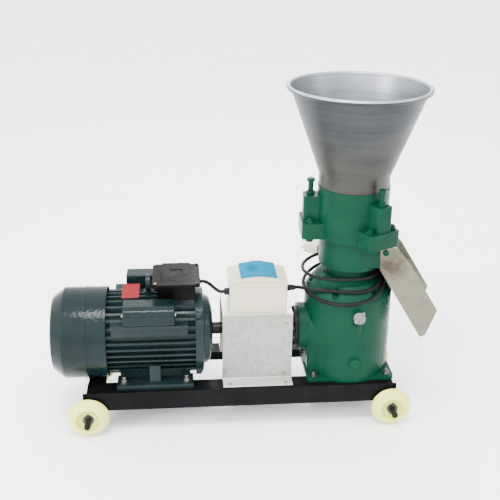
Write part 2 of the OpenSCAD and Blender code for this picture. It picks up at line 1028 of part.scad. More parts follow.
module terminal_lid() {
  front = -lid_width / 2;
  color("#4c4846") placed()
    box_middle()
      translate([0, 0, box_height])
        difference() {
          union() {
            rounded_block(lid_length, lid_width, lid_plate, lid_corner);
            translate([-crown_length / 2, 0, 0])
              rotate([90, 0, 90])
                linear_extrude(crown_length)
                  polygon([[front, 0], [-front, 0], [-front, lid_plate + crown_rise],
                    [front * crown_front_share, lid_plate + crown_rise], [front, lid_plate / 2]]);
          }
          translate([-latch_length / 2, front * crown_front_share / 2, lid_plate + crown_rise - latch_depth])
            cube([latch_length, latch_width, lid_plate]);
        }
}

module cap_profile(share) {
  centre = cap_centre_share;
  polygon([for (p = cap_shares) [-(centre[0] + (p[0] - centre[0]) * share) * cap_reach,
    (centre[1] + (p[1] - centre[1]) * share) * cap_reach]]);
}

// A sheet box on each shoulder of the motor
module capacitor_covers() {
  color("#3c5053") placed()
    for (side = [0, 1])
      mirror([0, side, 0])
        translate([cap_left, 0, shaft_z])
          rotate([90, 0, 90])
            difference() {
              linear_extrude(cap_length)
                cap_profile(1);
              translate([0, 0, cap_wall])
                linear_extrude(cap_length - 2 * cap_wall)
                  cap_profile(cap_inner_share);
            }
}

module capacitors() {
  color("#d8d8d4") placed()
    for (side = [-1, 1])
      translate([cap_left + capacitor_side, side * capacitor_place[0], shaft_z + capacitor_place[1]])
        lying()
          cylinder(r = capacitor_radius, h = cap_length - 2 * capacitor_side);
}

module cover_screws() {
  color("#c9c6b4") placed() {
    box_middle()
      for (sx = [-1, 1], sy = [-1, 1])
        translate([sx * (lid_length / 2 - lid_screw_inset), sy * (lid_width / 2 - lid_screw_inset),
          box_height + lid_plate])
          cylinder(r = screw_head, h = screw_rise);
    for (sy = [-1, 1])
      for (x = [cap_left - screw_rise, cap_left + cap_length])
        translate([x, sy * cap_screw_place[0], shaft_z + cap_screw_place[1]])
          lying()
            cylinder(r = screw_head, h = screw_rise);
    along_x(housing_left - cover_ear_x)
      for (a = [45 : 90 : 315])
        rotate([0, 0, a])
          lying()
            translate([0, 0, cover_radius])
              cylinder(r = screw_head, h = screw_rise);
    along_x(housing_right + ear_length - spot_depth)
      shield_ears(ear_reach, ear_bolt * head_share, ear_bolt);
    for (x = [guard_left + guard_screw_inset, guard_left + guard_length - guard_screw_inset], sy = [-1, 1])
      translate([x, sy * guard_screw_y, rail_top + guard_sheet])
        cylinder(r = screw_head, h = screw_rise);
    for (z = [rail_top + panel_low, rail_top + guard_height - panel_drop], sy = [-1, 1])
      outwards(guard_left + guard_length - guard_screw_inset, sy, guard_width / 2, z)
        cylinder(r = screw_head, h = screw_rise);
  }
}

module lifting_eye() {
  color("#44585a") placed() {
    translate([eye_x - eye_wall / 2, 0, eye_z])
      lying()
        ring(eye_ring, eye_hole, eye_wall);
    difference() {
      union() {
        translate([eye_x, 0, pad_top])
          cylinder(r = eye_collar, h = eye_collar_rise);
        translate([eye_x, 0, pad_top])
          cylinder(r = eye_shank, h = eye_z - pad_top);
      }
      translate([eye_x - 2 * eye_wall, 0, eye_z])
        lying()
          cylinder(r = (eye_ring + eye_hole) / 2, h = 4 * eye_wall);
    }
  }
}

module rating_plate() {
  color("#b3403a") placed()
    translate([plate_left, plate_shift - plate_width / 2, plate_top])
      cube([plate_length, plate_width, plate_wall]);
}

module foot_bolts() {
  low = rail_top - rail_wall;
  color("#c8cac6") placed() {
    for (sx = [-1, 1], sy = [-1, 1])
      foot_bolt(foot_middle + sx * foot_span / 2, sy * foot_gauge / 2, low, rail_top + foot_thick,
        motor_bolt);
    for (sx = [-1, 1], sy = [-1, 1])
      foot_bolt(head_x + sx * gear_bolt_span / 2, sy * gear_bolt_gauge / 2,
        sx > 0 ? low - rail_wall : low, rail_top + gear_foot_wall, gear_bolt);
  }
}

// Coupling

module jaws(length) {
  for (i = [0 : 2])
    rotate([0, 0, i * 120 - jaw_half_angle])
      rotate_extrude(angle = 2 * jaw_half_angle)
        translate([jaw_inner, 0])
          square([coupling_radius - spider_gap - jaw_inner, length]);
}

module coupling_half() {
  translate([0, 0, -coupling_plate - coupling_hub])
    ring(hub_radius, shaft_radius, coupling_hub);
  translate([0, 0, -coupling_plate])
    ring(coupling_radius, shaft_radius, coupling_plate);
  jaws(jaw_length);
}

module motor_coupling() {
  color("#5b5d5f") placed()
    along_x(shaft_right)
      coupling_half();
}

module gearbox_coupling() {
  color("#5b5d5f") placed()
    along_x(pinion_shaft_left)
      rotate([180, 0, 60])
        coupling_half();
}

module coupling_spider() {
  wall = 2 * jaw_inner * sin(30 - jaw_half_angle) - spider_gap / 2;
  color("#a83a22") placed()
    along_x(shaft_right + spider_gap)
      difference() {
        union() {
          cylinder(r = jaw_inner, h = coupling_gap - 2 * spider_gap);
          for (i = [0 : 5])
            rotate([0, 0, i * 60 + 30])
              translate([0, -wall / 2, 0])
                cube([coupling_radius - spider_gap, wall, coupling_gap - 2 * spider_gap]);
        }
        translate([0, 0, -overrun])
          cylinder(r = spider_bore, h = coupling_gap + overrun);
      }
}

// Bent sheet cover over the coupling
module coupling_guard() {
  half = guard_width / 2;
  color("#b9bcb2") placed()
    translate([guard_left, 0, rail_top])
      rotate([90, 0, 90])
        linear_extrude(guard_length)
          polygon([[-guard_flange_half, 0], [-half + guard_sheet, 0],
            [-half + guard_sheet, guard_height - guard_sheet],
            [half - guard_sheet, guard_height - guard_sheet], [half - guard_sheet, 0],
            [guard_flange_half, 0], [guard_flange_half, guard_sheet], [half, guard_sheet],
            [half, guard_height], [-half, guard_height], [-half, guard_sheet],
            [-guard_flange_half, guard_sheet]]);
}

// Switch box

module switch_middle(z) {
  translate([switch_left + switch_length / 2, switch_back - switch_width / 2, z])
    children();
}

module switch_box() {
  length = switch_length;
  width = switch_width;
  color("#e4e2da") placed()
    difference() {
      switch_middle(switch_base_z)
        difference() {
          rounded_block(length, width, switch_height, switch_corner);
          translate([0, 0, switch_wall])
            rounded_block(length - 2 * switch_wall, width - 2 * switch_wall, switch_height,
              switch_corner - switch_wall);
        }
      translate([switch_left - overrun, switch_gland_y, switch_gland_z])
        lying()
          cylinder(r = cord_radius, h = switch_wall + 2 * overrun);
      translate([switch_left + length - switch_wall - overrun, cord_gland_y, cord_gland_z])
        lying()
          cylinder(r = cord_radius, h = switch_wall + 2 * overrun);
    }
}

// Round gland on the left wall and tapered boot on the right wall
module switch_glands() {
  color("#1b1b1b") placed() {
    translate([switch_left - gland_length, switch_gland_y, switch_gland_z])
      lying()
        ring(gland_radius, cord_radius, gland_length);
    translate([switch_left + switch_length, cord_gland_y, cord_gland_z])
      lying()
        difference() {
          cylinder(r1 = boot_radius, r2 = boot_tip, h = boot_length);
          translate([0, 0, -overrun])
            cylinder(r = cord_radius, h = boot_length + 2 * overrun);
        }
  }
}

// Outline of the arched lid, grown by some amount
module arch(grow, low) {
  intersection() {
    translate([0, switch_rise - arch_radius])
      circle(r = arch_radius + grow, $fn = 180);
    translate([arch_step - switch_length / 2 - grow, low])
      square([switch_length + 2 * (grow - arch_step), switch_rise + grow - low]);
  }
}

module arch_block(grow, low, width) {
  translate([0, width / 2, lid_edge])
    rotate([90, 0, 0])
      linear_extrude(width)
        arch(grow, low);
}

module switch_lid() {
  color("#e8e6dd") placed() {
    difference() {
      switch_middle(switch_seam_z)
        difference() {
          union() {
            rounded_block(switch_length + 2 * lid_over, switch_width + 2 * lid_over, lid_edge, lid_corner);
            arch_block(0, -arch_step, switch_width - 2 * switch_wall);
          }
          translate([0, 0, -switch_wall])
            arch_block(0, -switch_rise, switch_width - 4 * switch_wall);
        }
      translate([switch_left + opening_left, -opening_front, switch_seam_z - overrun])
        cube([opening_length, opening_width, switch_rise + lid_edge + 2 * overrun]);
    }
    window_hinge() {
      for (sx = [-1, 1])
        translate([sx * (hinge_length / 2 + free_gap + hinge_lug / 2) - hinge_lug / 2, 0, 0]) {
          lying()
            cylinder(r = hinge_radius, h = hinge_lug);
          translate([0, -hinge_radius, -hinge_radius - hinge_sink])
            cube([hinge_lug, 2 * hinge_radius, hinge_radius + hinge_sink]);
        }
      translate([-hinge_length / 2 - hinge_lug, 0, 0])
        lying()
          cylinder(r = hinge_pin, h = hinge_length + 2 * hinge_lug);
    }
  }
}

// Places on the window's hinge line, behind the window
module window_hinge() {
  translate([window_hinge_x, window_back + hinge_radius, window_hinge_z])
    children();
}

// Clear raised cover over the breaker
module switch_window() {
  inside = window_length - 2 * window_wall;
  color("#59c8e6") placed() {
    difference() {
      intersection() {
        switch_middle(switch_seam_z)
          arch_block(window_rise, 0, 2 * switch_width);
        translate([switch_left + window_left, window_back - window_width, switch_seam_z])
          cube([window_length, window_width, switch_height]);
      }
      intersection() {
        switch_middle(switch_seam_z)
          arch_block(window_rise - window_wall, -overrun, 2 * switch_width);
        translate([switch_left + window_left + window_wall, window_back - window_width + window_wall,
          switch_seam_z - overrun])
          cube([inside, window_width - 2 * window_wall, switch_height]);
      }
      switch_middle(switch_seam_z)
        arch_block(free_gap, -overrun, 2 * switch_width);
    }
    window_hinge()
      difference() {
        union() {
          lying()
            cylinder(r = hinge_radius, h = hinge_length, center = true);
          translate([-hinge_length / 2, -hinge_radius - window_wall, 0])
            cube([hinge_length, hinge_radius + window_wall, hinge_radius]);
        }
        lying()
          cylinder(r = hinge_pin + running_gap, h = hinge_length + overrun, center = true);
      }
  }
}

module circuit_breaker() {
  left = switch_left + breaker_left;
  color("#2b3f4a") placed()
    difference() {
      union() {
        translate([left, breaker_back - breaker_width, breaker_z])
          cube([breaker_length, breaker_width, breaker_height]);
        translate([left, toggle_y - breaker_nose / 2, breaker_z])
          cube([breaker_length, breaker_nose, breaker_height + breaker_nose_rise]);
      }
      translate([left + (breaker_length - toggle_long) / 2 - free_gap, toggle_y, toggle_z])
        lying()
          cylinder(r = toggle_radius + free_gap, h = toggle_long + 2 * free_gap);
      translate([left + (breaker_length - toggle_long) / 2 - free_gap, toggle_y - toggle_swing, toggle_z])
        cube([toggle_long + 2 * free_gap, 2 * toggle_swing, toggle_rise]);
      translate([left + hinge_lug / 2, toggle_y, toggle_z])
        lying()
          cylinder(r = toggle_pin + running_gap, h = breaker_length - hinge_lug);
    }
}

module breaker_toggle() {
  left = switch_left + breaker_left;
  color("#15181a") placed()
    translate([left + (breaker_length - toggle_long) / 2, toggle_y, toggle_z]) {
      lying()
        cylinder(r = toggle_radius, h = toggle_long);
      translate([-toggle_drop / 2, 0, 0])
        lying()
          cylinder(r = toggle_pin, h = toggle_long + toggle_drop);
      rotate([toggle_tilt, 0, 0])
        translate([0, -toggle_wall / 2, 0])
          cube([toggle_long, toggle_wall, toggle_rise]);
    }
}

// Gearbox

module bearing_bore() {
  along_x(input_face - overrun)
    cylinder(r = bearing_outer, h = boss_end - input_face + 2 * overrun);
}

module filler_place() {
  translate([filler_x, -gearbox_radius + drain_rise, filler_z])
    rotate([filler_tilt, 0, 0])
      children();
}

// Foot of the neck that widens from the input bearing to the body
module input_web() {
  near = input_boss - neck_inset;
  far = input_neck_radius - neck_inset;
  web_left = head_x - gear_foot_length / 2 + neck_inset;
  translate([0, 0, rail_top + gear_foot_wall / 2])
    linear_extrude(shaft_height - gear_foot_wall / 2)
      polygon([[web_left, -near], [input_neck, -near], [input_neck_end, -far], [head_x, -far],
        [head_x, far], [input_neck_end, far], [input_neck, near], [web_left, near]]);
}

module gearbox_housing() {
  inside = gearbox_radius - body_wall;
  color("#246950") placed() {
    difference() {
      union() {
        on_head(rail_top)
          cylinder(r = gearbox_radius, h = gearbox_height);
        on_head(rail_top)
          rounded_block(gear_foot_length, gear_foot_width, gear_foot_wall, gear_foot_corner);
        along_x(input_face)
          cylinder(r = input_boss, h = input_boss / 2);
        along_x(input_neck)
          cylinder(r1 = input_boss, r2 = input_neck_radius, h = input_neck_end - input_neck);
        input_web();
        translate([filler_x, drain_rise - gearbox_radius, filler_z])
          rotate([180 + filler_lean, 0, 0])
            cylinder(r = filler_boss, h = filler_drop);
        filler_place()
          cylinder(r = filler_radius, h = filler_length);
        outwards(drain_x, -1, inside, drain_z)
          cylinder(r = drain_radius, h = body_wall + drain_rise);
      }
      on_head(rail_top + body_floor)
        cylinder(r = inside, h = gearbox_height);
      bearing_bore();
      filler_place()
        translate([0, 0, -filler_inside])
          cylinder(r = filler_radius / 2, h = filler_length + filler_inside + overrun);
      outwards(drain_x, -1, inside - overrun, drain_z)
        cylinder(r = drain_plug_radius / 2, h = body_wall + drain_rise + 2 * overrun);
      foot_holes();
    }
    difference() {
      along_x(input_face + input_boss / 4)
        cylinder(r = inner_boss, h = boss_end - input_face - input_boss / 4);
      bearing_bore();
    }
    on_head(rail_top + body_floor)
      ring(lower_boss, big_outer, big_width + bearing_inset);
  }
}

module gearbox_cover() {
  inside = gearbox_radius - body_wall;
  seat = cover_rise - upper_seat_drop;
  top = cover_rise + neck_height;
  color("#226149") placed()
    on_head(body_z)
      difference() {
        union() {
          rotate_extrude()
            polygon(concat([[inside, 0], [gearbox_radius, 0], [gearbox_radius, cover_rim]],
              [for (p = cover_shares) [p[0] * gearbox_radius, p[1] * cover_rise]],
              [[neck_radius, cover_rise], [neck_radius, top], [shaft_way, top],
                [shaft_way, seat + big_width], [big_outer, seat + big_width],
                [big_outer, seat]],
              [for (i = [1, 0]) [cover_inner_shares[i][0] * gearbox_radius,
                cover_inner_shares[i][1] * cover_rise]],
              [[inside, cover_rim * cover_inner_rim_share]]));
          cover_bolt_places()
            cylinder(r = cover_bolt_pad, h = cover_bolt_rise);
        }
        cover_bolt_places()
          translate([0, 0, cover_bolt_rise])
            cylinder(r = cover_pocket, h = cover_rise);
      }
}

module cover_bolt_places() {
  for (i = [0 : 5])
    rotate([0, 0, cover_bolt_angle + i * 60])
      translate([cover_bolt_reach, 0, 0])
        children();
}

module bearing_cap() {
  color("#1c1f1e") placed()
    along_x(input_face - cap_face) {
      ring(cap_radius, shaft_radius + free_gap, cap_face);
      for (i = [0 : 5])
        rotate([0, 0, 30 + i * 60])
          translate([cap_bolt_reach, 0, -gear_bolt])
            hex(gear_bolt * nut_share, gear_bolt);
    }
}

module oil_filler_cap() {
  color("#dfe1e2") placed()
    filler_place()
      translate([0, 0, filler_length]) {
        cylinder(r = filler_cap, h = filler_cap_rise);
        rotate([0, 0, filler_tilt])
          translate([-filler_cap - filler_grip / 2, -filler_grip / 2, filler_cap_rise - filler_grip / 2])
            cube([2 * filler_cap + filler_grip, filler_grip, filler_grip]);
      }
}

// Tooth between two radii of a bevel gear whose apex is at the origin
function tooth_points(reach, base, top, low, high) = [
  for (s = [1, face_share], p = [[-base, low], [base, low], [top, high], [-top, high]])
    [-reach * s, p[0] * s / 2, p[1] * s]];

module tooth(reach, base, top, low, high) {
  polyhedron(tooth_points(reach, base, top, low, high), [[0, 1, 2, 3], [7, 6, 5, 4], [0, 4, 5, 1],
    [1, 5, 6, 2], [2, 6, 7, 3], [3, 7, 4, 0]]);
}

module pinion_shaft() {
  pitch = 2 * PI * pinion_pitch / pinion_teeth;
  root = pinion_pitch * tooth_root_share;
  color("#96999c") placed() {
    along_x(0)
      rotate_extrude()
        polygon([[0, pinion_shaft_left], [shaft_radius, pinion_shaft_left], [shaft_radius, input_face],
          [bearing_inner, input_face], [bearing_inner, boss_end + bearing_inset],
          [root * blank_share, boss_end + bearing_inset],
          [root * blank_share, head_x - crown_pitch * blank_share],
          [root * nose_share, head_x - crown_pitch * nose_share], [0, head_x - crown_pitch * nose_share]]);
    on_head(shaft_z)
      for (i = [0 : pinion_teeth - 1])
        rotate([180 + i * 360 / pinion_teeth, 0, 0])
          tooth(crown_pitch, pitch * tooth_base_share, pitch * tooth_top_share, root * tooth_root_share,
            pinion_pitch * tooth_tip_share);
  }
}

module crown_gear() {
  pitch = 2 * PI * pinion_pitch / pinion_teeth;
  low = pinion_pitch * (2 - tooth_root_share);
  high = pinion_pitch * (2 - tooth_tip_share);
  color("#7f8285") placed()
    on_head(shaft_z) {
      rotate_extrude()
        polygon([[shaft_seat, -low - crown_wall - crown_hub_drop],
          [crown_hub, -low - crown_wall - crown_hub_drop],
          [crown_hub, -low - crown_wall], [crown_pitch, -low - crown_wall / 2], [crown_pitch, -low],
          [crown_pitch * face_share, -low * face_share], [crown_hub, -low * face_share],
          [shaft_seat, -low * face_share]]);
      for (i = [0 : crown_teeth - 1])
        rotate([0, 0, (i + 0.5) * 360 / crown_teeth])
          tooth(crown_pitch, pitch * tooth_base_share, pitch * tooth_top_share, -low - crown_tooth_rise / 2,
            -high);
    }
}

// Upright shaft with the sweeper disc and the flange under the die
module main_shaft() {
  upper_seat = neck_z - upper_seat_drop;
  color("#9fa2a5") placed()
    on_head(0) {
      translate([0, 0, lower_seat_z])
        cylinder(r = big_inner, h = die_top - lower_seat_z);
      translate([0, 0, lower_seat_z + big_width])
        cylinder(r = shaft_seat, h = upper_seat - lower_seat_z - big_width);
      translate([0, 0, sweeper_z])
        cylinder(r = sweeper_radius, h = sweeper_wall);
      for (i = [0 : 2])
        rotate([0, 0, i * 120])
          translate([big_inner - overrun, -sweeper_vane_wall / 2, sweeper_z])
            cube([sweeper_radius - big_inner - overrun, sweeper_vane_wall, sweeper_vane]);
      translate([0, 0, die_z - hub_flange_wall])
        cylinder(r = hub_flange, h = hub_flange_wall);
      translate([0, 0, die_top])
        hex(nut_radius, nut_height);
    }
}

// Bolts, nuts and the drain plug, all painted
module painted_bolts() {
  color("#226149") placed() {
    for (i = [0 : 5])
      at_head(cover_bolt_angle + i * 60)
        translate([cover_bolt_reach, 0, cover_bolt_top])
          hex(gear_bolt * nut_share, chamber_bolt);
    outwards(drain_x, -1, gearbox_radius + drain_rise, drain_z)
      cylinder(r = drain_plug_radius, h = drain_rise);
    outwards(drain_x, -1, gearbox_radius - body_wall, drain_z)
      cylinder(r = drain_plug_radius / 2, h = body_wall + drain_rise);
    for (i = [0 : lugs - 1])
      at_head(lug_angle + i * lug_step) {
        for (sy = [-1, 1])
          translate([chamber_bolt_reach, sy * chamber_bolt_side, flange_z])
            chamber_stud();
        translate([lug_reach, 0, lug_top])
          difference() {
            hex(lock_nut, lock_nut_height);
            translate([0, 0, -overrun])
              cylinder(r = screw_radius + running_gap, h = lock_nut_height + 2 * overrun);
          }
      }
    for (sy = [-1, 1])
      at_head(-chute_turn)
        outwards(chute_bolt_reach, sy, chute_side, chute_z - chute_bolt_drop)
          hex(chute_bolt * nut_share, chute_bolt);
  }
}

module chamber_stud() {
  head = chamber_bolt * head_height_share;
  translate([0, 0, -head])
    hex(chamber_bolt * head_share, head);
  cylinder(r = chamber_bolt, h = ear_top - flange_z + head + bolt_end);
  translate([0, 0, ear_top - flange_z])
    hex(chamber_bolt * nut_share, head);
}

// Pellet head

// Flange with ears for the bolts of both chambers
module eared_flange(low, high) {
  on_head(low)
    linear_extrude(high - low) {
      circle(r = drum_radius);
      for (i = [0 : lugs - 1])
        rotate(lug_angle + i * lug_step)
          translate([ear_out / 2, 0])
            rounded_square(ear_out, ear_width, gear_foot_corner);
    }
}

module stud_holes(low, high) {
  for (i = [0 : lugs - 1], sy = [-1, 1])
    at_head(lug_angle + i * lug_step)
      translate([chamber_bolt_reach, sy * chamber_bolt_side, low - overrun])
        cylinder(r = chamber_bolt, h = high - low + 2 * overrun);
}

module spout_box(inset, reach) {
  half = chute_side - chute_sheet - inset;
  at_head(-chute_turn)
    translate([spout_inside - inset, -half, chamber_z + spout_low + inset])
      cube([reach - spout_inside + inset, 2 * half, spout_high - spout_low - 2 * inset]);
}

module die_chamber() {
  color("#28714f") placed()
    difference() {
      union() {
        on_head(chamber_z)
          cylinder(r = chamber_radius, h = chamber_height + flange_thick / 2);
        eared_flange(flange_z, drum_z);
        spout_box(0, spout_end);
      }
      on_head(chamber_z + chamber_floor)
        cylinder(r = bore_radius, h = drum_height);
      on_head(chamber_z - overrun)
        cylinder(r = floor_hole, h = 2 * chamber_floor);
      spout_box(spout_wall, spout_end + overrun);
      stud_holes(flange_z, drum_z);
    }
}

module die() {
  color("#6d6f71") placed()
    on_head(die_z)
      difference() {
        cylinder(r = bore_radius - die_gap, h = die_thickness);
        translate([0, 0, -overrun])
          cylinder(r = big_inner, h = die_thickness + 2 * overrun);
        for (row = die_rows, i = [0 : row[1] - 1])
          rotate([0, 0, i * 360 / row[1]])
            translate([row[0], 0, -overrun])
              cylinder(r = die_hole, h = die_thickness + 2 * overrun);
      }
}

function chute_point(i) = [chute_shares[i][0] * chute_run, chute_shares[i][1] * chute_run];

// Sheet channel that slopes down from the spout
module discharge_chute() {
  to = chute_point(len(chute_shares) - 1);
  from = chute_point(0) * (1 - floor_top_share) + to * floor_top_share;
  step = (to - from) / norm(to - from);
  inward = [-step[1], step[0]] * chute_sheet / 2;
  color("#b7b7a8") placed()
    at_head(-chute_turn)
      translate([chute_start, 0, chute_z]) {
        for (y = [chute_sheet - chute_side, chute_side])
          translate([0, y, 0])
            rotate([90, 0, 0])
              linear_extrude(chute_sheet)
                polygon([for (i = [0 : len(chute_shares) - 1]) chute_point(i)]);
        translate([0, chute_side - chute_sheet / 2, 0])
          rotate([90, 0, 0])
            linear_extrude(chute_width - chute_sheet)
              polygon([from + inward, to + inward, to + 3 * inward, from + 3 * inward]);
      }
}

module lug_blocks() {
  for (i = [0 : lugs - 1])
    at_head(lug_angle + i * lug_step)
      translate([(slot_inside + lug_out) / 2, 0, (drum_z + ear_top) / 2])
        rounded_block(lug_out - slot_inside, lug_width, lug_top - (drum_z + ear_top) / 2, lid_corner);
}

module lug_slots() {
  half = roller_axle + slot_gap;
  for (i = [0 : lugs - 1])
    at_head(lug_angle + i * lug_step) {
      translate([slot_inside, -half, drum_z - overrun])
        cube([slot_outside - slot_inside, 2 * half, slot_top - drum_z + overrun]);
      translate([lug_reach, 0, slot_top - overrun])
        cylinder(r = screw_radius + running_gap, h = lug_top - slot_top + 2 * overrun);
    }
}

module roller_chamber() {
  spigot = drum_radius - 2 * hopper_sheet - free_gap;
  color("#2a7452") placed()
    difference() {
      union() {
        on_head(ear_top)
          cylinder(r = drum_radius, h = drum_top - ear_top);
        on_head(drum_top)
          cylinder(r = spigot, h = spigot_height);
        eared_flange(drum_z, ear_top);
        lug_blocks();
      }
      on_head(drum_z - overrun)
        cylinder(r = drum_bore, h = drum_height + spigot_height);
      lug_slots();
      stud_holes(drum_z, ear_top);
    }
}

// Fixed hub with the roller axles and their collars
module roller_carrier() {
  color("#8f9194") placed()
    on_head(roller_z) {
      translate([0, 0, -roller_hub_half])
        cylinder(r = roller_hub, h = 2 * roller_hub_half);
      for (i = [0 : lugs - 1])
        rotate([0, 0, lug_angle + i * lug_step])
          lying() {
            cylinder(r = roller_axle, h = axle_end);
            translate([0, 0, roller_inside + roller_width + free_gap])
              cylinder(r = roller_axle + sweeper_wall, h = sweeper_wall);
          }
    }
}

module roller(i) {
  color("#a3a5a6") placed()
    on_head(roller_z)
      rotate([0, 0, lug_angle + i * lug_step])
        lying()
          translate([0, 0, roller_inside])
            difference() {
              cylinder(r = roller_radius, h = roller_width);
              translate([0, 0, -overrun])
                cylinder(r = roller_axle + running_gap, h = roller_width + 2 * overrun);
              for (k = [0 : roller_grooves - 1])
                rotate([0, 0, k * 360 / roller_grooves])
                  translate([roller_radius, 0, -overrun])
                    cylinder(r = roller_groove, h = roller_width + 2 * overrun);
            }
}

module roller_left() {
  roller(0);
}

module roller_front() {
  roller(1);
}

module roller_rear() {
  roller(2);
}

module pressure_screw(i) {
  low = roller_z + roller_axle + free_gap;
  color("#226149") placed()
    at_head(lug_angle + i * lug_step)
      translate([lug_reach, 0, 0]) {
        translate([0, 0, low])
          cylinder(r = screw_radius, h = screw_top - screw_head_height - low);
        translate([0, 0, screw_top - screw_head_height])
          hex(screw_head_radius, screw_head_height);
      }
}

module pressure_screw_left() {
  pressure_screw(0);
}

module pressure_screw_front() {
  pressure_screw(1);
}

module pressure_screw_rear() {
  pressure_screw(2);
}

// Spun funnel with a rolled rim
module hopper() {
  collar = drum_radius - hopper_sheet;
  high = hopper_height - bead_radius;
  color("#a8a8a8") placed()
    on_head(hopper_z)
      rotate_extrude() {
        polygon([[collar - hopper_sheet, 0], [collar, 0], [collar, collar_height],
          [cone_radius + hopper_sheet, high], [cone_radius, high], [collar - hopper_sheet, collar_height]]);
        translate([rim_radius - bead_radius, high])
          circle(r = bead_radius);
      }
}

// Cords

function spline(a, b, c, d, t) = 0.5 * (2 * b + (c - a) * t + (2 * a - 5 * b + 4 * c - d) * t * t
  + (3 * b - a - 3 * c + d) * t * t * t);

function smooth(p, steps) = concat([for (i = [1 : len(p) - 3], k = [0 : steps - 1])
  spline(p[i - 1], p[i], p[i + 1], p[i + 2], k / steps)], [p[len(p) - 2]]);

function direction(p, i) = let (d = p[min(i + 1, len(p) - 1)] - p[max(i - 1, 0)]) d / norm(d);

function tube_ring(p, i, sides, radius) = let (
  d = direction(p, i), u = cross(d, [0, 0, 1]) / norm(cross(d, [0, 0, 1])), v = cross(u, d))
  [for (k = [0 : sides - 1]) p[i] + radius * (cos(k * 360 / sides) * u + sin(k * 360 / sides) * v)];

module tube(p, sides, radius) {
  last = len(p) - 1;
  polyhedron([for (i = [0 : last]) each tube_ring(p, i, sides, radius)],
    concat([[for (k = [sides - 1 : -1 : 0]) k]],
      [for (i = [0 : last - 1], k = [0 : sides - 1])
        [i * sides + k, i * sides + (k + 1) % sides, (i + 1) * sides + (k + 1) % sides,
          (i + 1) * sides + k]],
      [[for (k = [0 : sides - 1]) last * sides + k]]));
}

function ahead(p, x) = p + [x, 0, 0];

link_route = concat([ahead(link_start, -2 * cord_radius), link_start, ahead(link_start, 2 * cord_radius)],
  link_places, [ahead(link_end, -2 * cord_radius), link_end, ahead(link_end, 2 * cord_radius)]);

module link_cable() {
  color("#1a1a1a") placed()
    tube(smooth(link_route, link_steps), cord_sides, cord_radius);
}

plug_way = [cos(plug_angle), sin(plug_angle), 0];

cord_route = concat([ahead(cord_start, -2 * cord_radius), cord_start, ahead(cord_start, 2 * cord_radius)],
  [for (q = cord_places) [head_x + q[1] * cos(q[0]), q[1] * sin(q[0]), q[2]]], cord_tail,
  [plug_start - 2 * cord_radius * plug_way, plug_start, plug_start + 2 * cord_radius * plug_way]);
cord_points = smooth(cord_route, cord_steps);
cord_least = min([for (i = [0 : len(cord_points) - 1], j = [i + 4 : 1 : len(cord_points) - 1])
  norm(cord_points[i] - cord_points[j])]) - 2 * cord_radius;

// Mains lead wound loosely round the neck
module power_cord() {
  echo(cord_gap = cord_least);
  color("#1a1a1a") placed()
    tube(cord_points, cord_sides, cord_radius);
}

module power_plug() {
  color("#ece6d4") placed()
    translate(plug_start)
      rotate([0, 0, plug_angle])
        lying() {
          cylinder(r1 = boot_tip, r2 = boot_radius, h = plug_relief);
          translate([0, 0, plug_relief])
            rounded_block(plug_height, plug_width, plug_length, plug_corner);
          for (p = [[-pin_side, 0], [pin_side, -pin_side], [pin_side, pin_side]])
            translate([p[0] - pin_width / 2, p[1] - pin_wall / 2, plug_relief + plug_length])
              cube([pin_width, pin_wall, pin_length]);
        }
}

rail_front();
rail_rear();
cross_members();
axles();
axle_pins();
wheel_front_left();
wheel_front_right();
wheel_rear_left();
wheel_rear_right();
motor_housing();
drive_end_shield();
fan_end_shield();
fan_cover();
stator_core();
stator_windings();
shaft_bearings();
rotor_core();
motor_shaft();
cooling_fan();
terminal_box();
terminal_lid();
capacitor_covers();
capacitors();
cover_screws();
lifting_eye();
rating_plate();
foot_bolts();
link_cable();
motor_coupling();
coupling_spider();
gearbox_coupling();
coupling_guard();
switch_box();
switch_glands();
switch_lid();
switch_window();
circuit_breaker();
breaker_toggle();
gearbox_housing();
gearbox_cover();
bearing_cap();
oil_filler_cap();
pinion_shaft();
crown_gear();
main_shaft();
painted_bolts();
die_chamber();
die();
discharge_chute();
roller_chamber();
roller_carrier();
roller_left();
roller_front();
roller_rear();
pressure_screw_left();
pressure_screw_front();
pressure_screw_rear();
hopper();
power_cord();
power_plug();
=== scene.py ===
import bmesh
import bpy
import json
import math
from mathutils import Matrix, Vector


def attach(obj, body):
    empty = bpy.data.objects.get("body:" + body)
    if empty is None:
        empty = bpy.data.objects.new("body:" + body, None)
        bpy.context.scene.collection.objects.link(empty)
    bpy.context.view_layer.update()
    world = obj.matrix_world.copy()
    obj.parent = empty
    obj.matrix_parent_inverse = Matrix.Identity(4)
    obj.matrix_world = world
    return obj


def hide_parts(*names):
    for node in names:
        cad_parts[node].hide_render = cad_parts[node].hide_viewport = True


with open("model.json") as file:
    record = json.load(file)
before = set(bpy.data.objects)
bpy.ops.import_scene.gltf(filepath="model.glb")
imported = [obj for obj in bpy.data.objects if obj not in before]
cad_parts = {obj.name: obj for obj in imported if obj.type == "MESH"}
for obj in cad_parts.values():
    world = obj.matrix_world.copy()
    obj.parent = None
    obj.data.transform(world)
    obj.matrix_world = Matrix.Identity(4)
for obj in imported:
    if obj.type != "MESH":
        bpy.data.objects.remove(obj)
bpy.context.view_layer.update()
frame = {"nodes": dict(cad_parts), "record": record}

# Camera, floor and light. The mill stands on a pale studio floor under a pale sky that is brightest at
# the upper left in front, with four soft lights: above, at the left, a weak one at the right, and one
# behind. The camera looks down from the front, a little from the left.
camera = bpy.data.objects.new("camera", bpy.data.cameras.new("camera"))
bpy.context.collection.objects.link(camera)
camera_place = (-0.14859, -1.76762, 1.14872)
camera_right = Vector((0.99558, -0.09254, 0.01609))
camera_up = Vector((0.02037, 0.37999, 0.92477))
camera_ahead = Vector((0.09170, 0.92035, -0.38019))
camera_turn = Matrix((camera_right, camera_up, -camera_ahead)).transposed().to_4x4()
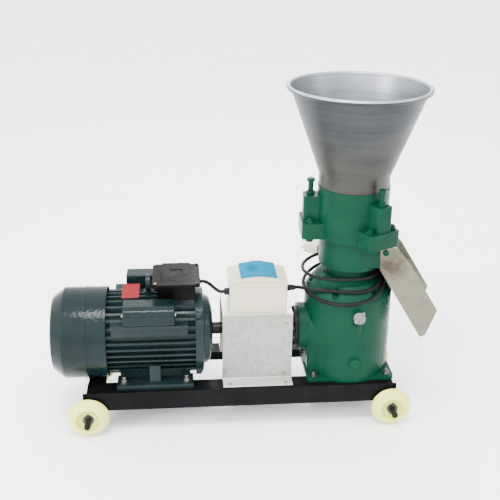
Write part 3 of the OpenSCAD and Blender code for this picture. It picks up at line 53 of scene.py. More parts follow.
camera.matrix_world = Matrix.Translation(camera_place) @ camera_turn
camera.data.lens = 61.743
camera.data.sensor_width = 36
camera.data.shift_x = -0.01894
camera.data.shift_y = -0.01776
bpy.context.scene.camera = camera

floor_reach = 30
floor_corners = [(x * floor_reach, y * floor_reach, 0) for x, y in ((-1, -1), (1, -1), (1, 1), (-1, 1))]
floor_mesh = bpy.data.meshes.new("floor")
floor_mesh.from_pydata(floor_corners, [], [(0, 1, 2, 3)])
floor = bpy.data.objects.new("floor", floor_mesh)
bpy.context.collection.objects.link(floor)
floor_paint = bpy.data.materials.new("floor_paint")
floor_paint.use_nodes = True
floor_shader = floor_paint.node_tree.nodes["Principled BSDF"]
floor_shader.inputs["Base Color"].default_value = (0.96, 0.96, 0.96, 1)
floor_shader.inputs["Roughness"].default_value = 0.9
floor.data.materials.append(floor_paint)

sky = bpy.data.worlds.new("studio")
sky.use_nodes = True
sky_shader = sky.node_tree.nodes["Background"]
sky_shader.inputs["Color"].default_value = (0.96, 0.98, 1.0, 1)
brightest_way = (-0.45, -0.45, 0.77)
dimmest, brightest = 0.6, 5.4
toward = sky.node_tree.nodes.new("ShaderNodeTexCoord")
facing = sky.node_tree.nodes.new("ShaderNodeVectorMath")
facing.operation = "DOT_PRODUCT"
facing.inputs[1].default_value = brightest_way
level = sky.node_tree.nodes.new("ShaderNodeMapRange")
for index, value in enumerate((-1, 1, dimmest, brightest)):
    level.inputs[index + 1].default_value = value
sky.node_tree.links.new(toward.outputs["Generated"], facing.inputs[0])
sky.node_tree.links.new(facing.outputs["Value"], level.inputs[0])
sky.node_tree.links.new(level.outputs[0], sky_shader.inputs["Strength"])
bpy.context.scene.world = sky

for name, at, aim, size, power in (
        ("soft_light_above", (-0.3, -0.9, 2.6), (0.0, 0.0, 0.3), 0.7, 80),
        ("soft_light_left", (-2.2, -1.5, 1.3), (-0.1, 0.0, 0.3), 0.4, 50),
        ("soft_light_right", (2.4, -1.0, 1.6), (0.2, 0.0, 0.4), 0.4, 14),
        ("soft_light_behind", (0.4, 2.2, 1.9), (0.0, 0.0, 0.4), 0.9, 40)):
    lamp = bpy.data.lights.new(name, "AREA")
    lamp.size = size
    lamp.energy = power
    lamp_object = bpy.data.objects.new(name, lamp)
    bpy.context.collection.objects.link(lamp_object)
    lamp_object.location = at
    lamp_object.rotation_euler = (Vector(aim) - Vector(at)).to_track_quat("-Z", "Y").to_euler()


# Mains lead. A black 8 mm rubber cord leaves the boot on the switch box and is wound loosely, about
# two and two thirds times, round the neck under the pellet head, with its plug tucked in behind. The
# turns lie on the gearbox cover and on each other.
def tone(red, green, blue):
    """A colour of the photograph, 0 to 255, in linear light."""
    parts = [value / 255 for value in (red, green, blue)]
    return tuple(v / 12.92 if v <= 0.04045 else ((v + 0.055) / 1.055) ** 2.4 for v in parts) + (1.0,)


def finish(name, roughness, metallic=0.0, **sockets):
    """A new material. A socket such as Coat Weight is given as Coat_Weight."""
    made = bpy.data.materials.new(name)
    made.use_nodes = True
    shader = made.node_tree.nodes["Principled BSDF"]
    shader.inputs["Roughness"].default_value = roughness
    shader.inputs["Metallic"].default_value = metallic
    for socket, value in sockets.items():
        shader.inputs[socket.replace("_", " ")].default_value = value
    return made


def node_in(made, kind, **values):
    """One node of a material, with the values of its inputs and settings."""
    node = made.node_tree.nodes.new(kind)
    for key, value in values.items():
        if key in node.inputs:
            node.inputs[key].default_value = value
        else:
            setattr(node, key, value)
    return node


def on_piece(made, stretch=(1, 1, 1), centre=(0, 0, 0)):
    """The piece's own coordinates, in metres from centre, stretched."""
    where = node_in(made, "ShaderNodeTexCoord")
    mapping = node_in(made, "ShaderNodeMapping", Scale=stretch,
                      Location=[-c * s for c, s in zip(centre, stretch)])
    made.node_tree.links.new(where.outputs["Object"], mapping.inputs["Vector"])
    return mapping.outputs["Vector"]


def speckle(made, scale, detail=3.0, stretch=(1, 1, 1)):
    """Soft noise from 0 to 1, scale lumps to the metre."""
    noise = node_in(made, "ShaderNodeTexNoise", Scale=scale, Detail=detail)
    made.node_tree.links.new(on_piece(made, stretch), noise.inputs["Vector"])
    return noise.outputs["Fac"]


def between(made, value, low, high, first, last):
    """Takes the range low to high of a value to first to last."""
    ranged = node_in(made, "ShaderNodeMapRange")
    for index, number in enumerate((low, high, first, last)):
        ranged.inputs[index + 1].default_value = number
    made.node_tree.links.new(value, ranged.inputs[0])
    return ranged.outputs[0]


def blended(made, amount, first, last):
    """Mixes two colours, or outputs of other nodes, by a value."""
    mix = node_in(made, "ShaderNodeMix", data_type="RGBA")
    made.node_tree.links.new(amount, mix.inputs[0])
    for index, colour in ((6, first), (7, last)):
        if isinstance(colour, tuple):
            mix.inputs[index].default_value = colour
        else:
            made.node_tree.links.new(colour, mix.inputs[index])
    return mix.outputs[2]


def to_shader(made, output, socket):
    """Joins a node's output to a socket of the material's shader."""
    made.node_tree.links.new(output, made.node_tree.nodes["Principled BSDF"].inputs[socket])


def mottled(made, scale, first, last, detail=3.0, stretch=(1, 1, 1)):
    """Two close colours in soft spots, scale spots to the metre."""
    to_shader(made, blended(made, speckle(made, scale, detail, stretch), first, last), "Base Color")


most_of_noise = (0.3, 0.7)  # where nearly all of a speckle's values lie


def uneven_gloss(made, scale, low, high, detail=3.0):
    """Roughness that wanders from low to high in soft patches."""
    to_shader(made, between(made, speckle(made, scale, detail), *most_of_noise, low, high), "Roughness")


def relief(made, height, depth):
    """Adds a bump of that depth in metres over any bump that is there."""
    bump = node_in(made, "ShaderNodeBump", Strength=1.0, Distance=depth)
    made.node_tree.links.new(height, bump.inputs["Height"])
    normal = made.node_tree.nodes["Principled BSDF"].inputs["Normal"]
    if normal.is_linked:
        made.node_tree.links.new(normal.links[0].from_socket, bump.inputs["Normal"])
    made.node_tree.links.new(bump.outputs["Normal"], normal)


def flowing(route, steps):
    """Points on a smooth curve through the route, without its two outer points."""
    points = []
    for i in range(1, len(route) - 2):
        a, b, c, d = (Vector(p) for p in route[i - 1:i + 3])
        for k in range(steps):
            t = k / steps
            points.append(0.5 * (2 * b + (c - a) * t + (2 * a - 5 * b + 4 * c - d) * t * t
                                 + (3 * b - a - 3 * c + d) * t ** 3))
    return points + [Vector(route[-2])]


def cord_piece(name, points, radius, made):
    """A round cord or wire along points."""
    line = bpy.data.curves.new(name, "CURVE")
    line.dimensions = "3D"
    spline = line.splines.new("POLY")
    spline.points.add(len(points) - 1)
    for point, place in zip(spline.points, points):
        point.co = (*place, 1)
    line.bevel_depth = radius
    line.bevel_resolution = 5
    line.use_fill_caps = True
    spline.use_smooth = True
    piece = bpy.data.objects.new(name, line)
    bpy.context.collection.objects.link(piece)
    line.materials.append(made)
    return piece


cord_black = finish("cord_black", 0.46, Specular_IOR_Level=0.09)
mottled(cord_black, 90, tone(9, 9, 10), tone(17, 17, 18))
uneven_gloss(cord_black, 160, 0.36, 0.56)
relief(cord_black, speckle(cord_black, 1500), 0.0001)

middle_x = 0.0161824  # the frame's middle, along the x of the part's source
head = Vector((0.251 - middle_x, 0, 0))  # the upright axis of neck, pellet head and hopper
cord_radius = 0.004
straight_end = 0.008  # how far a cord runs straight on at each end
step_on = Vector((straight_end, 0, 0))
cord_start = Vector((0.1255 - middle_x, -0.020, 0.3115))
cord_turns = [  # degrees round the neck, mm from its axis, mm above the floor
    (201, 110, 317), (214, 99, 320), (230, 91, 325), (250, 89, 328), (270, 89, 328), (292, 88, 330),
    (313, 84, 338), (334, 70, 349), (354, 66, 350), (376, 66, 350), (396, 74, 346), (414, 81, 341),
    (432, 86, 337), (456, 89, 333), (480, 92, 328), (505, 97, 321), (530, 103, 314), (555, 106, 308),
    (580, 106, 304), (603, 106, 303), (625, 105, 306), (646, 104, 313), (664, 98, 323.5), (680, 88, 332),
    (697, 77, 341), (716, 75, 342), (736, 77, 343), (750, 84, 346), (764, 88, 348), (780, 88, 350),
    (804, 90, 351), (830, 94, 351), (855, 100, 350), (880, 105, 349), (903, 107, 349), (926, 103, 351),
    (948, 94, 353), (970, 85, 355), (994, 79, 355), (1020, 75, 354), (1046, 68, 356), (1072, 61, 359),
    (1100, 61, 360), (1130, 67, 359), (1158, 71, 359)]
cord_tail = [Vector((0.240 - middle_x, 0.071, 0.359)), Vector((0.226 - middle_x, 0.073, 0.3585))]
plug_at = Vector((0.218 - middle_x, 0.079, 0.358))
plug_turn = math.radians(140)
plug_way = Vector((math.cos(plug_turn), math.sin(plug_turn), 0))
cord_route = (
    [cord_start - step_on, cord_start, cord_start + step_on]
    + [head + Vector((r * math.cos(math.radians(a)), r * math.sin(math.radians(a)), z)) / 1000
       for a, r, z in cord_turns]
    + cord_tail + [plug_at - straight_end * plug_way, plug_at, plug_at + straight_end * plug_way])
mains_lead = cord_piece("mains_lead", flowing(cord_route, 4), cord_radius, cord_black)
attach(mains_lead, "machine")
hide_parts("power_cord")


# Plug. A cream plug with three flat pins and a tapered strain relief, moulded on the end of the lead.
# Hard glossy plastic with a faintly uneven skin.
def welded(node, name, made, ease=0.0005, rounds=2):
    """A copy of a CAD node for the eye: welded, flat faces joined, edges eased, in a finish."""
    same_point, flat, sharp = 0.00001, math.radians(0.6), math.radians(32)
    mesh = frame["nodes"][node].data.copy()
    mesh.name = name
    mesh.materials.clear()
    mesh.materials.append(made)
    shape = bmesh.new()
    shape.from_mesh(mesh)
    for face in shape.faces:
        face.material_index = 0
        face.smooth = True
    bmesh.ops.remove_doubles(shape, verts=shape.verts, dist=same_point)
    bmesh.ops.dissolve_limit(shape, angle_limit=flat, verts=shape.verts, edges=shape.edges)
    shape.to_mesh(mesh)
    shape.free()
    mesh.set_sharp_from_angle(angle=sharp)
    piece = bpy.data.objects.new(name, mesh)
    bpy.context.collection.objects.link(piece)
    if ease:
        bevel = piece.modifiers.new("eased_edges", "BEVEL")
        bevel.width = ease
        bevel.segments = rounds
        bevel.limit_method = "ANGLE"
        bevel.angle_limit = sharp
        bevel.use_clamp_overlap = True
        bevel.harden_normals = True
    for body, members in frame["record"]["behaviour"]["bodies"].items():
        if node in members:
            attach(piece, body)
    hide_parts(node)
    return piece


plug_cream = finish("plug_cream", 0.35, Coat_Weight=0.2, Subsurface_Weight=0.05)
mottled(plug_cream, 60, tone(196, 190, 168), tone(212, 206, 186))
relief(plug_cream, speckle(plug_cream, 700), 0.00005)
plug = welded("power_plug", "mains_plug", plug_cream, 0.0012)


# Frame. Two long steel angles with short cross angles and four axle brackets welded to them, sprayed
# satin black over mill scale. The welds at the brackets are small rippled beads.
def sprayed(name, colour, worn, rough, grain, depth, shine=0.05):
    """Sprayed paint: two close shades in soft patches, uneven gloss and a fine skin."""
    made = finish(name, rough, Specular_IOR_Level=shine)
    patches = blended(made, between(made, speckle(made, 14, 5), 0.35, 0.7, 0, 1), colour, worn)
    to_shader(made, patches, "Base Color")
    uneven_gloss(made, 45, rough - 0.08, rough + 0.1, 4)
    relief(made, speckle(made, grain, 4), depth)
    return made


frame_black = sprayed("frame_black", tone(5, 5, 6), tone(12, 12, 13), 0.42, 420, 0.00012)
for node in ("rail_front", "rail_rear", "cross_members"):
    welded(node, node + "_steel", frame_black, 0.0012)


def grown(name, build, body, slot, made, **sizes):
    """Runs a Geometry Nodes tree that build fills, and keeps its result as one plain mesh."""
    tree = bpy.data.node_groups.new(name, "GeometryNodeTree")
    kinds = {Vector: "NodeSocketVector", float: "NodeSocketFloat", int: "NodeSocketInt"}
    for key, value in sizes.items():
        tree.interface.new_socket(key, in_out="INPUT", socket_type=kinds[type(value)])
    tree.interface.new_socket("Material", in_out="INPUT", socket_type="NodeSocketMaterial")
    tree.interface.new_socket("Geometry", in_out="OUTPUT", socket_type="NodeSocketGeometry")
    given = tree.nodes.new("NodeGroupInput")
    result = build(tree, given)
    real = tree.nodes.new("GeometryNodeRealizeInstances")
    smooth = tree.nodes.new("GeometryNodeSetShadeSmooth")
    coat = tree.nodes.new("GeometryNodeSetMaterial")
    last = tree.nodes.new("NodeGroupOutput")
    tree.links.new(result, real.inputs[0])
    tree.links.new(real.outputs[0], smooth.inputs["Geometry"])
    tree.links.new(smooth.outputs[0], coat.inputs["Geometry"])
    tree.links.new(given.outputs["Material"], coat.inputs["Material"])
    tree.links.new(coat.outputs[0], last.inputs[0])
    holder = bpy.data.objects.new(name + "_tree", bpy.data.meshes.new(name + "_empty"))
    bpy.context.collection.objects.link(holder)
    modifier = holder.modifiers.new(name, "NODES")
    modifier.node_group = tree
    for item in tree.interface.items_tree:
        if item.in_out == "INPUT":
            modifier[item.identifier] = made if item.name == "Material" else sizes[item.name]
    holder.update_tag()
    bpy.context.view_layer.update()
    ready = holder.evaluated_get(bpy.context.evaluated_depsgraph_get())
    mesh = bpy.data.meshes.new_from_object(ready)
    holder.modifiers.remove(modifier)
    bpy.data.objects.remove(holder)
    mesh.name = name
    piece = bpy.data.objects.new(name, mesh)
    bpy.context.collection.objects.link(piece)
    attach(piece, body)
    return piece


def weld_bead(tree, given):
    """Overlapping round drops of weld along a line."""
    line = tree.nodes.new("GeometryNodeMeshLine")
    line.mode = "END_POINTS"
    drop = tree.nodes.new("GeometryNodeMeshIcoSphere")
    drop.inputs["Subdivisions"].default_value = 2
    laid = tree.nodes.new("GeometryNodeInstanceOnPoints")
    tree.links.new(given.outputs["Start"], line.inputs["Start Location"])
    tree.links.new(given.outputs["End"], line.inputs["Offset"])
    tree.links.new(given.outputs["Drops"], line.inputs["Count"])
    tree.links.new(given.outputs["Radius"], drop.inputs["Radius"])
    tree.links.new(line.outputs[0], laid.inputs["Points"])
    tree.links.new(drop.outputs["Mesh"], laid.inputs["Instance"])
    return laid.outputs[0]


corners = (("front_left", -1, -1), ("front_right", 1, -1), ("rear_left", -1, 1), ("rear_right", 1, 1))
bracket_along, bracket_side, bracket_foot, bracket_top = 0.333, 0.1015, 0.061, 0.095
for place, along, side in corners:
    corner = Vector((along * bracket_along - middle_x, side * bracket_side, 0))
    grown("bracket_weld_" + place, weld_bead, "machine", "frame_black", frame_black,
          Start=corner + Vector((0, 0, bracket_foot)), End=corner + Vector((0, 0, bracket_top)),
          Drops=20, Radius=0.0022)


# Axles and wheels. Two plain steel bars blacked with the frame, with washers and split pins, and four
# moulded wheels of pale greenish polyethylene that let a little light through.
axle_steel = sprayed("axle_steel", tone(12, 12, 12), tone(30, 28, 26), 0.4, 600, 0.00008)
welded("axles", "axle_bars", axle_steel, 0.0012)
pin_steel = finish("pin_steel", 0.42, 0.85)
mottled(pin_steel, 160, tone(34, 30, 26), tone(88, 84, 76), 4)
welded("axle_pins", "axle_washers", pin_steel, 0.0003)

axle_along, pin_side, axle_height = 0.345, 0.1276, 0.0465
pin_wire_radius = 0.0011
one_leg = [  # of a split pin, mm across and up from the axle
    (8, -14.5), (5, -13.2), (2.6, -11.6), (1, -9), (0.9, 0), (0.9, 9.8), (2.6, 11.6), (3.2, 13.6),
    (2.2, 15.6)]
both_legs = one_leg + [(0, 16.4)] + [(-x, z) for x, z in reversed(one_leg)]
for place, along, side in corners:
    at = Vector((along * axle_along - middle_x, side * pin_side, axle_height))
    bent = cord_piece("split_pin_" + place, [at + Vector((x, 0, z)) / 1000 for x, z in both_legs],
                      pin_wire_radius, pin_steel)
    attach(bent, "machine")

wheel_plastic = finish("wheel_plastic", 0.38, Subsurface_Weight=0.3, Subsurface_Scale=0.008)
mottled(wheel_plastic, 30, tone(198, 204, 84), tone(208, 213, 108), 4)
uneven_gloss(wheel_plastic, 70, 0.34, 0.52)
relief(wheel_plastic, speckle(wheel_plastic, 350, 4), 0.00012)
for place, _, _ in corners:
    welded("wheel_" + place, "wheel_disc_" + place, wheel_plastic, 0.0015, rounds=3)


# Motor. A finned cast frame between two cast end shields, with a pressed cover over its fan, all in a
# thick glossy slate enamel. Inside are the laminated core, the varnished copper winding and the rotor.
slate = sprayed("slate_enamel", tone(13, 25, 26), tone(20, 33, 34), 0.24, 260, 0.0005, 0.12)
welded("motor_housing", "motor_frame", slate, 0.0008)
welded("drive_end_shield", "motor_front_shield", slate, 0.0018)
welded("fan_end_shield", "motor_rear_shield", slate, 0.0015)
slate_sheet = sprayed("slate_sheet", tone(6, 18, 19), tone(10, 24, 25), 0.13, 150, 0.0007, 0.12)
welded("fan_cover", "motor_fan_cover", slate_sheet, 0.0022, rounds=3)
core_steel = finish("core_steel", 0.45, 0.8)
mottled(core_steel, 1500, tone(70, 70, 72), tone(130, 130, 132), 2, (1, 0.01, 0.01))
welded("stator_core", "stator_stack", core_steel)
welded("rotor_core", "rotor_stack", core_steel)
bearing_steel = finish("bearing_steel", 0.2, 1.0)
mottled(bearing_steel, 80, tone(170, 170, 172), tone(205, 205, 207))
welded("shaft_bearings", "ball_bearings", bearing_steel, 0)
shaft_steel = finish("shaft_steel", 0.34, 1.0)
mottled(shaft_steel, 400, tone(14, 13, 13), tone(42, 41, 40), 3, (1, 0.1, 0.1))
welded("motor_shaft", "motor_spindle", shaft_steel)
dark_plastic = finish("dark_plastic", 0.5)
mottled(dark_plastic, 90, tone(36, 38, 40), tone(52, 54, 56))
welded("cooling_fan", "fan_wheel", dark_plastic, 0.0006)
copper = finish("copper_wire", 0.35, 0.9)
mottled(copper, 300, tone(150, 82, 44), tone(190, 110, 60))


def wound_ring(tree, given):
    """A bundle of wires laid round a ring on the motor's axis."""
    section = tree.nodes.new("GeometryNodeMeshCircle")
    place = tree.nodes.new("GeometryNodeInputPosition")
    parts = tree.nodes.new("ShaderNodeSeparateXYZ")
    reach = tree.nodes.new("ShaderNodeMath")
    kept = tree.nodes.new("GeometryNodeStoreNamedAttribute")
    kept.inputs["Name"].default_value = "reach"
    aside = tree.nodes.new("ShaderNodeCombineXYZ")
    moved = tree.nodes.new("GeometryNodeSetPosition")
    ring = tree.nodes.new("GeometryNodeCurvePrimitiveCircle")
    ring.inputs["Resolution"].default_value = 96
    ring.inputs["Radius"].default_value = 1.0
    turned = tree.nodes.new("GeometryNodeTransform")
    turned.inputs["Rotation"].default_value = (0, math.pi / 2, 0)
    known = tree.nodes.new("GeometryNodeInputNamedAttribute")
    known.inputs["Name"].default_value = "reach"
    laid = tree.nodes.new("GeometryNodeInstanceOnPoints")
    real = tree.nodes.new("GeometryNodeRealizeInstances")
    wire = tree.nodes.new("GeometryNodeCurvePrimitiveCircle")
    wire.inputs["Resolution"].default_value = 10
    drawn = tree.nodes.new("GeometryNodeCurveToMesh")
    shifted = tree.nodes.new("GeometryNodeTransform")
    join = tree.links.new
    # a point for each wire of the bundle, which keeps its distance from the motor's axis
    join(given.outputs["Wires"], section.inputs["Vertices"])
    join(given.outputs["Bundle"], section.inputs["Radius"])
    join(place.outputs[0], parts.inputs[0])
    join(parts.outputs["X"], reach.inputs[0])
    join(given.outputs["Radius"], reach.inputs[1])
    join(section.outputs[0], kept.inputs["Geometry"])
    join(reach.outputs[0], kept.inputs["Value"])
    join(parts.outputs["Y"], aside.inputs["X"])
    join(kept.outputs[0], moved.inputs["Geometry"])
    join(aside.outputs[0], moved.inputs["Position"])
    # a ring through each of these points, as wide as that distance
    join(ring.outputs[0], turned.inputs[0])
    join(moved.outputs[0], laid.inputs["Points"])
    join(turned.outputs[0], laid.inputs["Instance"])
    join(known.outputs[0], laid.inputs["Scale"])
    join(laid.outputs[0], real.inputs[0])
    # the wire along each ring, all moved to one end of the core
    join(given.outputs["Wire"], wire.inputs["Radius"])
    join(real.outputs[0], drawn.inputs["Curve"])
    join(wire.outputs[0], drawn.inputs["Profile Curve"])
    join(drawn.outputs[0], shifted.inputs[0])
    join(given.outputs["Middle"], shifted.inputs["Translation"])
    return shifted.outputs[0]


motor_axis_height, coil_radius, wire_radius = 0.203, 0.0635, 0.0016
for end, along in (("left", -0.266), ("right", -0.139)):
    for layer, bundle, wires in (("outer", 0.0095, 20), ("middle", 0.0065, 14), ("inner", 0.0035, 8)):
        winding = grown("winding_%s_%s" % (end, layer), wound_ring, "machine", "copper_wire", copper,
                        Middle=Vector((along - middle_x, 0, motor_axis_height)), Radius=coil_radius,
                        Bundle=bundle, Wires=wires, Wire=wire_radius)
        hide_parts("stator_windings")


# Boxes on the motor. A glossy black moulded terminal box with a raised lid, and two pressed covers
# over the capacitors. Small screws hold them; a cast eye and a bare red plate sit on top.
box_black = sprayed("box_black", tone(5, 4, 4), tone(11, 8, 7), 0.26, 700, 0.00008, 0.045)
welded("terminal_box", "terminal_case", box_black, 0.0015)
welded("terminal_lid", "terminal_cap", box_black, 0.0015)
welded("capacitor_covers", "capacitor_caps", slate_sheet, 0.003, rounds=3)
capacitor_case = finish("capacitor_case", 0.3, 0.6)
mottled(capacitor_case, 60, tone(150, 150, 152), tone(180, 180, 182))
welded("capacitors", "capacitor_cans", capacitor_case)

# The screws of the fan cover and of the drive end shield are painted with the motor, the others bare.
screw_steel = finish("screw_steel", 0.3, 0.9)
mottled(screw_steel, 240, tone(112, 98, 70), tone(158, 148, 124))
screws = welded("cover_screws", "small_screws", screw_steel, 0.0006)
screws.data.materials.append(slate)
cover_end, shield_start, shield_end = -0.28, -0.1, -0.08
for face in screws.data.polygons:
    along = face.center.x + middle_x
    face.material_index = 1 if along < cover_end or shield_start < along < shield_end else 0

welded("lifting_eye", "lifting_ring", slate, 0.001)
plate_red = finish("plate_red", 0.36, Specular_IOR_Level=0.06)
mottled(plate_red, 260, tone(92, 2, 6), tone(112, 10, 12), 5)
welded("rating_plate", "bare_plate", plate_red, 0.0003)


# Foot bolts. Plated hexagon bolts with washers and nuts hold the motor and the gearbox to the rails.
# Their plating is dull in spots, with a fine grain.
plated_steel = finish("plated_steel", 0.28, 0.95)
mottled(plated_steel, 220, tone(58, 59, 58), tone(112, 112, 109), 4)
relief(plated_steel, speckle(plated_steel, 900), 0.00005)
welded("foot_bolts", "foot_bolt_sets", plated_steel, 0.0005)


# Link lead. A short black cord carries the current from the terminal box to the switch box, held by a
# ring gland at each end. Its points are in the source's x, and move to the frame's at the end.
lead_start, lead_end = Vector((-0.089, 0.008, 0.319)), Vector((-0.0375, -0.034, 0.3125))
lead_bends = [(-76, 5, 318.5), (-68, -4, 317.5), (-60, -18, 315.5), (-53, -28, 314)]  # mm
lead_route = [lead_start - step_on, lead_start, lead_start + step_on]
lead_route += [Vector(bend) / 1000 for bend in lead_bends]
lead_route += [lead_end - step_on, lead_end, lead_end + step_on]
to_middle = Vector((middle_x, 0, 0))
lead_points = [point - to_middle for point in flowing(lead_route, 6)]
link_lead = cord_piece("link_lead", lead_points, cord_radius, cord_black)
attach(link_lead, "machine")
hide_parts("link_cable")


# Coupling and its guard. Two cast jaw halves and a rubber spider turn inside a folded guard of
# galvanised sheet with a turned-out foot, which is bright from a painted highlight on faces that look up.
coupling_iron = sprayed("coupling_iron", tone(14, 14, 15), tone(32, 29, 26), 0.5, 400, 0.0002)
welded("motor_coupling", "motor_jaw", coupling_iron, 0.001)
welded("gearbox_coupling", "gearbox_jaw", coupling_iron, 0.001)
spider_rubber = finish("spider_rubber", 0.6)
mottled(spider_rubber, 90, tone(40, 24, 20), tone(60, 36, 30))
welded("coupling_spider", "rubber_spider", spider_rubber, 0.0004)


def zinc_sheet(name, light, dark, rough):
    """Galvanised sheet: flat zinc crystals in close greys, a little dull; faces that look up are painted
    pale, a painted highlight.
    """
    made = finish(name, rough, 0.75)
    cells = node_in(made, "ShaderNodeTexVoronoi", Scale=130.0)
    made.node_tree.links.new(on_piece(made), cells.inputs["Vector"])
    crystal = node_in(made, "ShaderNodeSeparateColor")
    made.node_tree.links.new(cells.outputs["Color"], crystal.inputs[0])
    spangle = blended(made, between(made, crystal.outputs[0], 0, 1, 0.1, 0.75), dark, light)
    clouds = between(made, speckle(made, 16, 5), *most_of_noise, 0, 0.5)
    # A painted highlight: faces that look up are painted pale, nearly white.
    normal = node_in(made, "ShaderNodeSeparateXYZ")
    made.node_tree.links.new(node_in(made, "ShaderNodeTexCoord").outputs["Normal"], normal.inputs[0])
    painted_light_upward = between(made, normal.outputs[2], 0.6, 0.9, 0, 0.8)
    sheet = blended(made, clouds, spangle, light)
    to_shader(made, blended(made, painted_light_upward, sheet, tone(222, 224, 220)), "Base Color")
    to_shader(made, between(made, crystal.outputs[1], 0, 1, rough - 0.07, rough + 0.1), "Roughness")
    relief(made, speckle(made, 30, 2), 0.0006)
    return made


zinc = zinc_sheet("galvanised_sheet", tone(148, 150, 144), tone(116, 120, 117), 0.36)
welded("coupling_guard", "guard_sheet", zinc, 0.0012)


# Switch box. An ivory moulded box on the guard with an arched lid, glands for the cords, and a clear
# blue window hinged over a miniature breaker, drawn on the window as a soft darker patch of painted shade.
ivory = finish("switch_ivory", 0.34)
mottled(ivory, 40, tone(178, 170, 146), tone(187, 180, 158))
relief(ivory, speckle(ivory, 900), 0.00005)
welded("switch_box", "switch_case", ivory, 0.0014)
welded("switch_lid", "switch_cap", ivory, 0.0012)
gland_black = finish("gland_black", 0.42, Specular_IOR_Level=0.12)
mottled(gland_black, 90, tone(8, 8, 9), tone(17, 17, 18))
welded("switch_glands", "cord_glands", gland_black, 0.0008)

window_clear = finish("window_clear", 0.15, Transmission_Weight=0.35, IOR=1.02)
tint = blended(window_clear, speckle(window_clear, 20), tone(0, 114, 148), tone(0, 124, 158))
# Painted shade: the window's blue is painted darker in a soft oval over the breaker beneath it.
breaker_shade_middle = (0.012, 0.0, 0)
breaker_shade_stretch = (62, 40, 0)  # brings 16 mm along and 25 mm across to 1
from_breaker_shade = node_in(window_clear, "ShaderNodeVectorMath", operation="LENGTH")
window_clear.node_tree.links.new(on_piece(window_clear, breaker_shade_stretch, breaker_shade_middle), from_breaker_shade.inputs[0])
shade = between(window_clear, from_breaker_shade.outputs["Value"], 0.5, 1.1, 0.4, 0)
to_shader(window_clear, blended(window_clear, shade, tint, tone(4, 62, 88)), "Base Color")
welded("switch_window", "blue_window", window_clear, 0.0008)

breaker_case = finish("breaker_case", 0.4)
mottled(breaker_case, 60, tone(60, 66, 70), tone(84, 90, 92))
welded("circuit_breaker", "breaker_body", breaker_case, 0.0006)
welded("breaker_toggle", "breaker_lever", gland_black, 0.0005)


# Gearbox. A green cast housing with a domed cover and a black bearing cap, bolted down by its foot.
# A crown gear inside turns the upright shaft from the pinion. Thick enamel over a sand-cast skin.
green = sprayed("mill_green", tone(2, 43, 29), tone(6, 49, 34), 0.27, 330, 0.0006, 0.06)
relief(green, speckle(green, 900, 3), 0.00025)
welded("gearbox_housing", "gearbox_casting", green, 0.003, rounds=3)
welded("gearbox_cover", "gearbox_dome", green, 0.002)
welded("bearing_cap", "input_cap", gland_black, 0.0012)
filler_silver = finish("filler_silver", 0.24, 0.95)
mottled(filler_silver, 200, tone(58, 60, 62), tone(124, 126, 126), 4)
welded("oil_filler_cap", "filler_cap", filler_silver, 0.0008)
gear_steel = finish("gear_steel", 0.32, 1.0)
mottled(gear_steel, 120, tone(112, 108, 102), tone(158, 154, 148))
welded("pinion_shaft", "bevel_pinion", gear_steel, 0)
welded("crown_gear", "bevel_crown", gear_steel, 0)
welded("main_shaft", "upright_shaft", shaft_steel)
welded("painted_bolts", "green_bolts", green, 0.0008)


# Pellet head. Two green cast chambers clamped by three pairs of bolts. The die turns under three
# press rollers, each pressed down by its own screw in a lug.
welded("die_chamber", "lower_chamber", green, 0.0032, rounds=3)
welded("roller_chamber", "upper_chamber", green, 0.0042, rounds=4)
die_steel = finish("die_steel", 0.38, 1.0)
mottled(die_steel, 90, tone(92, 90, 88), tone(140, 138, 134), 5)
welded("die", "pellet_die", die_steel, 0.0006)
roller_steel = finish("roller_steel", 0.4, 1.0)
mottled(roller_steel, 90, tone(98, 96, 94), tone(150, 148, 144), 5)
welded("roller_carrier", "roller_hub", roller_steel, 0.0008)
for place in ("left", "front", "rear"):
    welded("roller_" + place, "press_roller_" + place, roller_steel, 0.0006)
    welded("pressure_screw_" + place, "press_screw_" + place, green, 0.0008)


# Chute. One folded channel of galvanised sheet under the spout of the die chamber, its near side
# stained brown beside the spout in a ragged spot.
# As on the guard, the chute's faces that look up are painted pale, a painted highlight.
chute_zinc = zinc_sheet("chute_sheet", tone(104, 102, 86), tone(88, 87, 73), 0.34)
stain_middle = (0.323 - middle_x, -0.076, 0.383)
stain_full, stain_edge, stain_ragged = 0.03, 0.075, 0.05
from_stain = node_in(chute_zinc, "ShaderNodeVectorMath", operation="DISTANCE")
from_stain.inputs[1].default_value = stain_middle
chute_zinc.node_tree.links.new(on_piece(chute_zinc), from_stain.inputs[0])
ragged = node_in(chute_zinc, "ShaderNodeMath", operation="MULTIPLY_ADD")
ragged.inputs[1].default_value = stain_ragged
chute_zinc.node_tree.links.new(speckle(chute_zinc, 60, 4), ragged.inputs[0])
chute_zinc.node_tree.links.new(from_stain.outputs["Value"], ragged.inputs[2])
plain = chute_zinc.node_tree.nodes["Principled BSDF"].inputs["Base Color"].links[0].from_socket
stained = between(chute_zinc, ragged.outputs[0], stain_full, stain_edge, 0.85, 0)
to_shader(chute_zinc, blended(chute_zinc, stained, plain, tone(52, 36, 28)), "Base Color")
welded("discharge_chute", "chute_channel", chute_zinc, 0.0008)
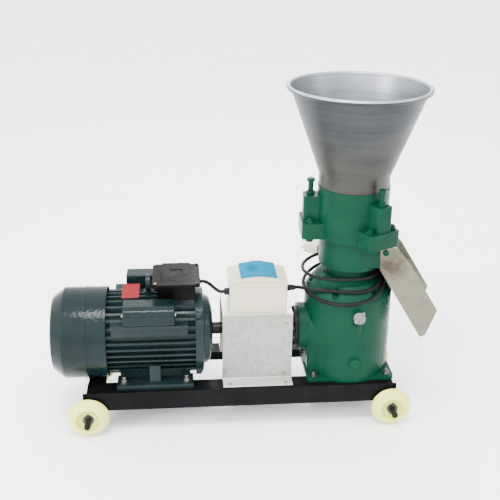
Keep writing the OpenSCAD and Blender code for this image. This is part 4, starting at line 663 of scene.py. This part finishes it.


# Hopper. A cone of spun aluminium with a straight collar and a rolled rim, which drops over the top of
# the roller chamber and lifts off. Fine tool rings run round it, and the lowest part of its outside is
# a little warmer in colour. Its faces that look up, the inside, are painted much lighter than the
# outside, which faces down and out: painted light and shade.
aluminium = finish("spun_aluminium", 0.34, 1.0)
rings = speckle(aluminium, 420, 5, (0.004, 0.004, 1))
clouds = between(aluminium, speckle(aluminium, 9, 4, (1, 1, 2.5)), *most_of_noise, 0, 1)
height = node_in(aluminium, "ShaderNodeSeparateXYZ")
aluminium.node_tree.links.new(on_piece(aluminium), height.inputs[0])
# The outside is a little warmer in colour towards its foot.
outside_above = blended(aluminium, clouds, tone(46, 48, 51), tone(57, 59, 61))
outside_low_warm = blended(aluminium, clouds, tone(48, 48, 46), tone(62, 60, 57))
outside_painted_dark = blended(aluminium, between(aluminium, height.outputs[2], 0.6, 0.72, 1, 0), outside_above, outside_low_warm)
outside_painted_dark = blended(aluminium, between(aluminium, rings, 0.35, 0.65, 0, 0.16), outside_painted_dark, tone(84, 84, 82))
inside_painted_lit = blended(aluminium, clouds, tone(150, 154, 159), tone(172, 175, 180))
inside_painted_lit = blended(aluminium, between(aluminium, rings, 0.35, 0.65, 0, 0.5), inside_painted_lit, tone(118, 122, 128))
# Painted light and shade: faces that look up take the light inside colour, the others the dark outside
# colour.
slope = node_in(aluminium, "ShaderNodeSeparateXYZ")
aluminium.node_tree.links.new(node_in(aluminium, "ShaderNodeTexCoord").outputs["Normal"], slope.inputs[0])
painted_light_upward = between(aluminium, slope.outputs[2], 0.1, 0.3, 0, 1)
to_shader(aluminium, blended(aluminium, painted_light_upward, outside_painted_dark, inside_painted_lit), "Base Color")
to_shader(aluminium, between(aluminium, rings, *most_of_noise, 0.36, 0.5), "Roughness")
relief(aluminium, rings, 0.0001)

foot_height = 0.5509
collar_inside, collar_outside, collar_height = 77, 78.5, 26  # radii and height in mm
rim_reach, rim_height, rim_radius = 150.7, 214.2, 4.7  # middle and radius of the roll, mm
rim_start, rim_sweep = -150, 330  # degrees
rim_steps, steps_round = 24, 224
rim = [(rim_reach + rim_radius * math.cos(a), rim_height + rim_radius * math.sin(a))
       for a in (math.radians(rim_start + rim_sweep * k / rim_steps) for k in range(rim_steps + 1))]
wall = [(collar_inside, 0), (collar_outside, 0), (collar_outside, collar_height)] + rim
wall += [(collar_inside, collar_height)]
points, faces = [], []
for k in range(steps_round):
    a = 2 * math.pi * k / steps_round
    for reach, rise in wall:
        points.append((head.x + reach * math.cos(a) / 1000, reach * math.sin(a) / 1000,
                       foot_height + rise / 1000))
    here, there = k * len(wall), (k + 1) % steps_round * len(wall)
    for i in range(len(wall)):
        following = (i + 1) % len(wall)
        faces.append((here + i, there + i, there + following, here + following))
cone_mesh = bpy.data.meshes.new("hopper_cone")
cone_mesh.from_pydata(points, [], faces)
cone_mesh.shade_smooth()
cone_mesh.set_sharp_from_angle(angle=math.radians(35))
cone_mesh.materials.append(aluminium)
cone = bpy.data.objects.new("hopper_cone", cone_mesh)
bpy.context.collection.objects.link(cone)
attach(cone, "hopper")
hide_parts("hopper")
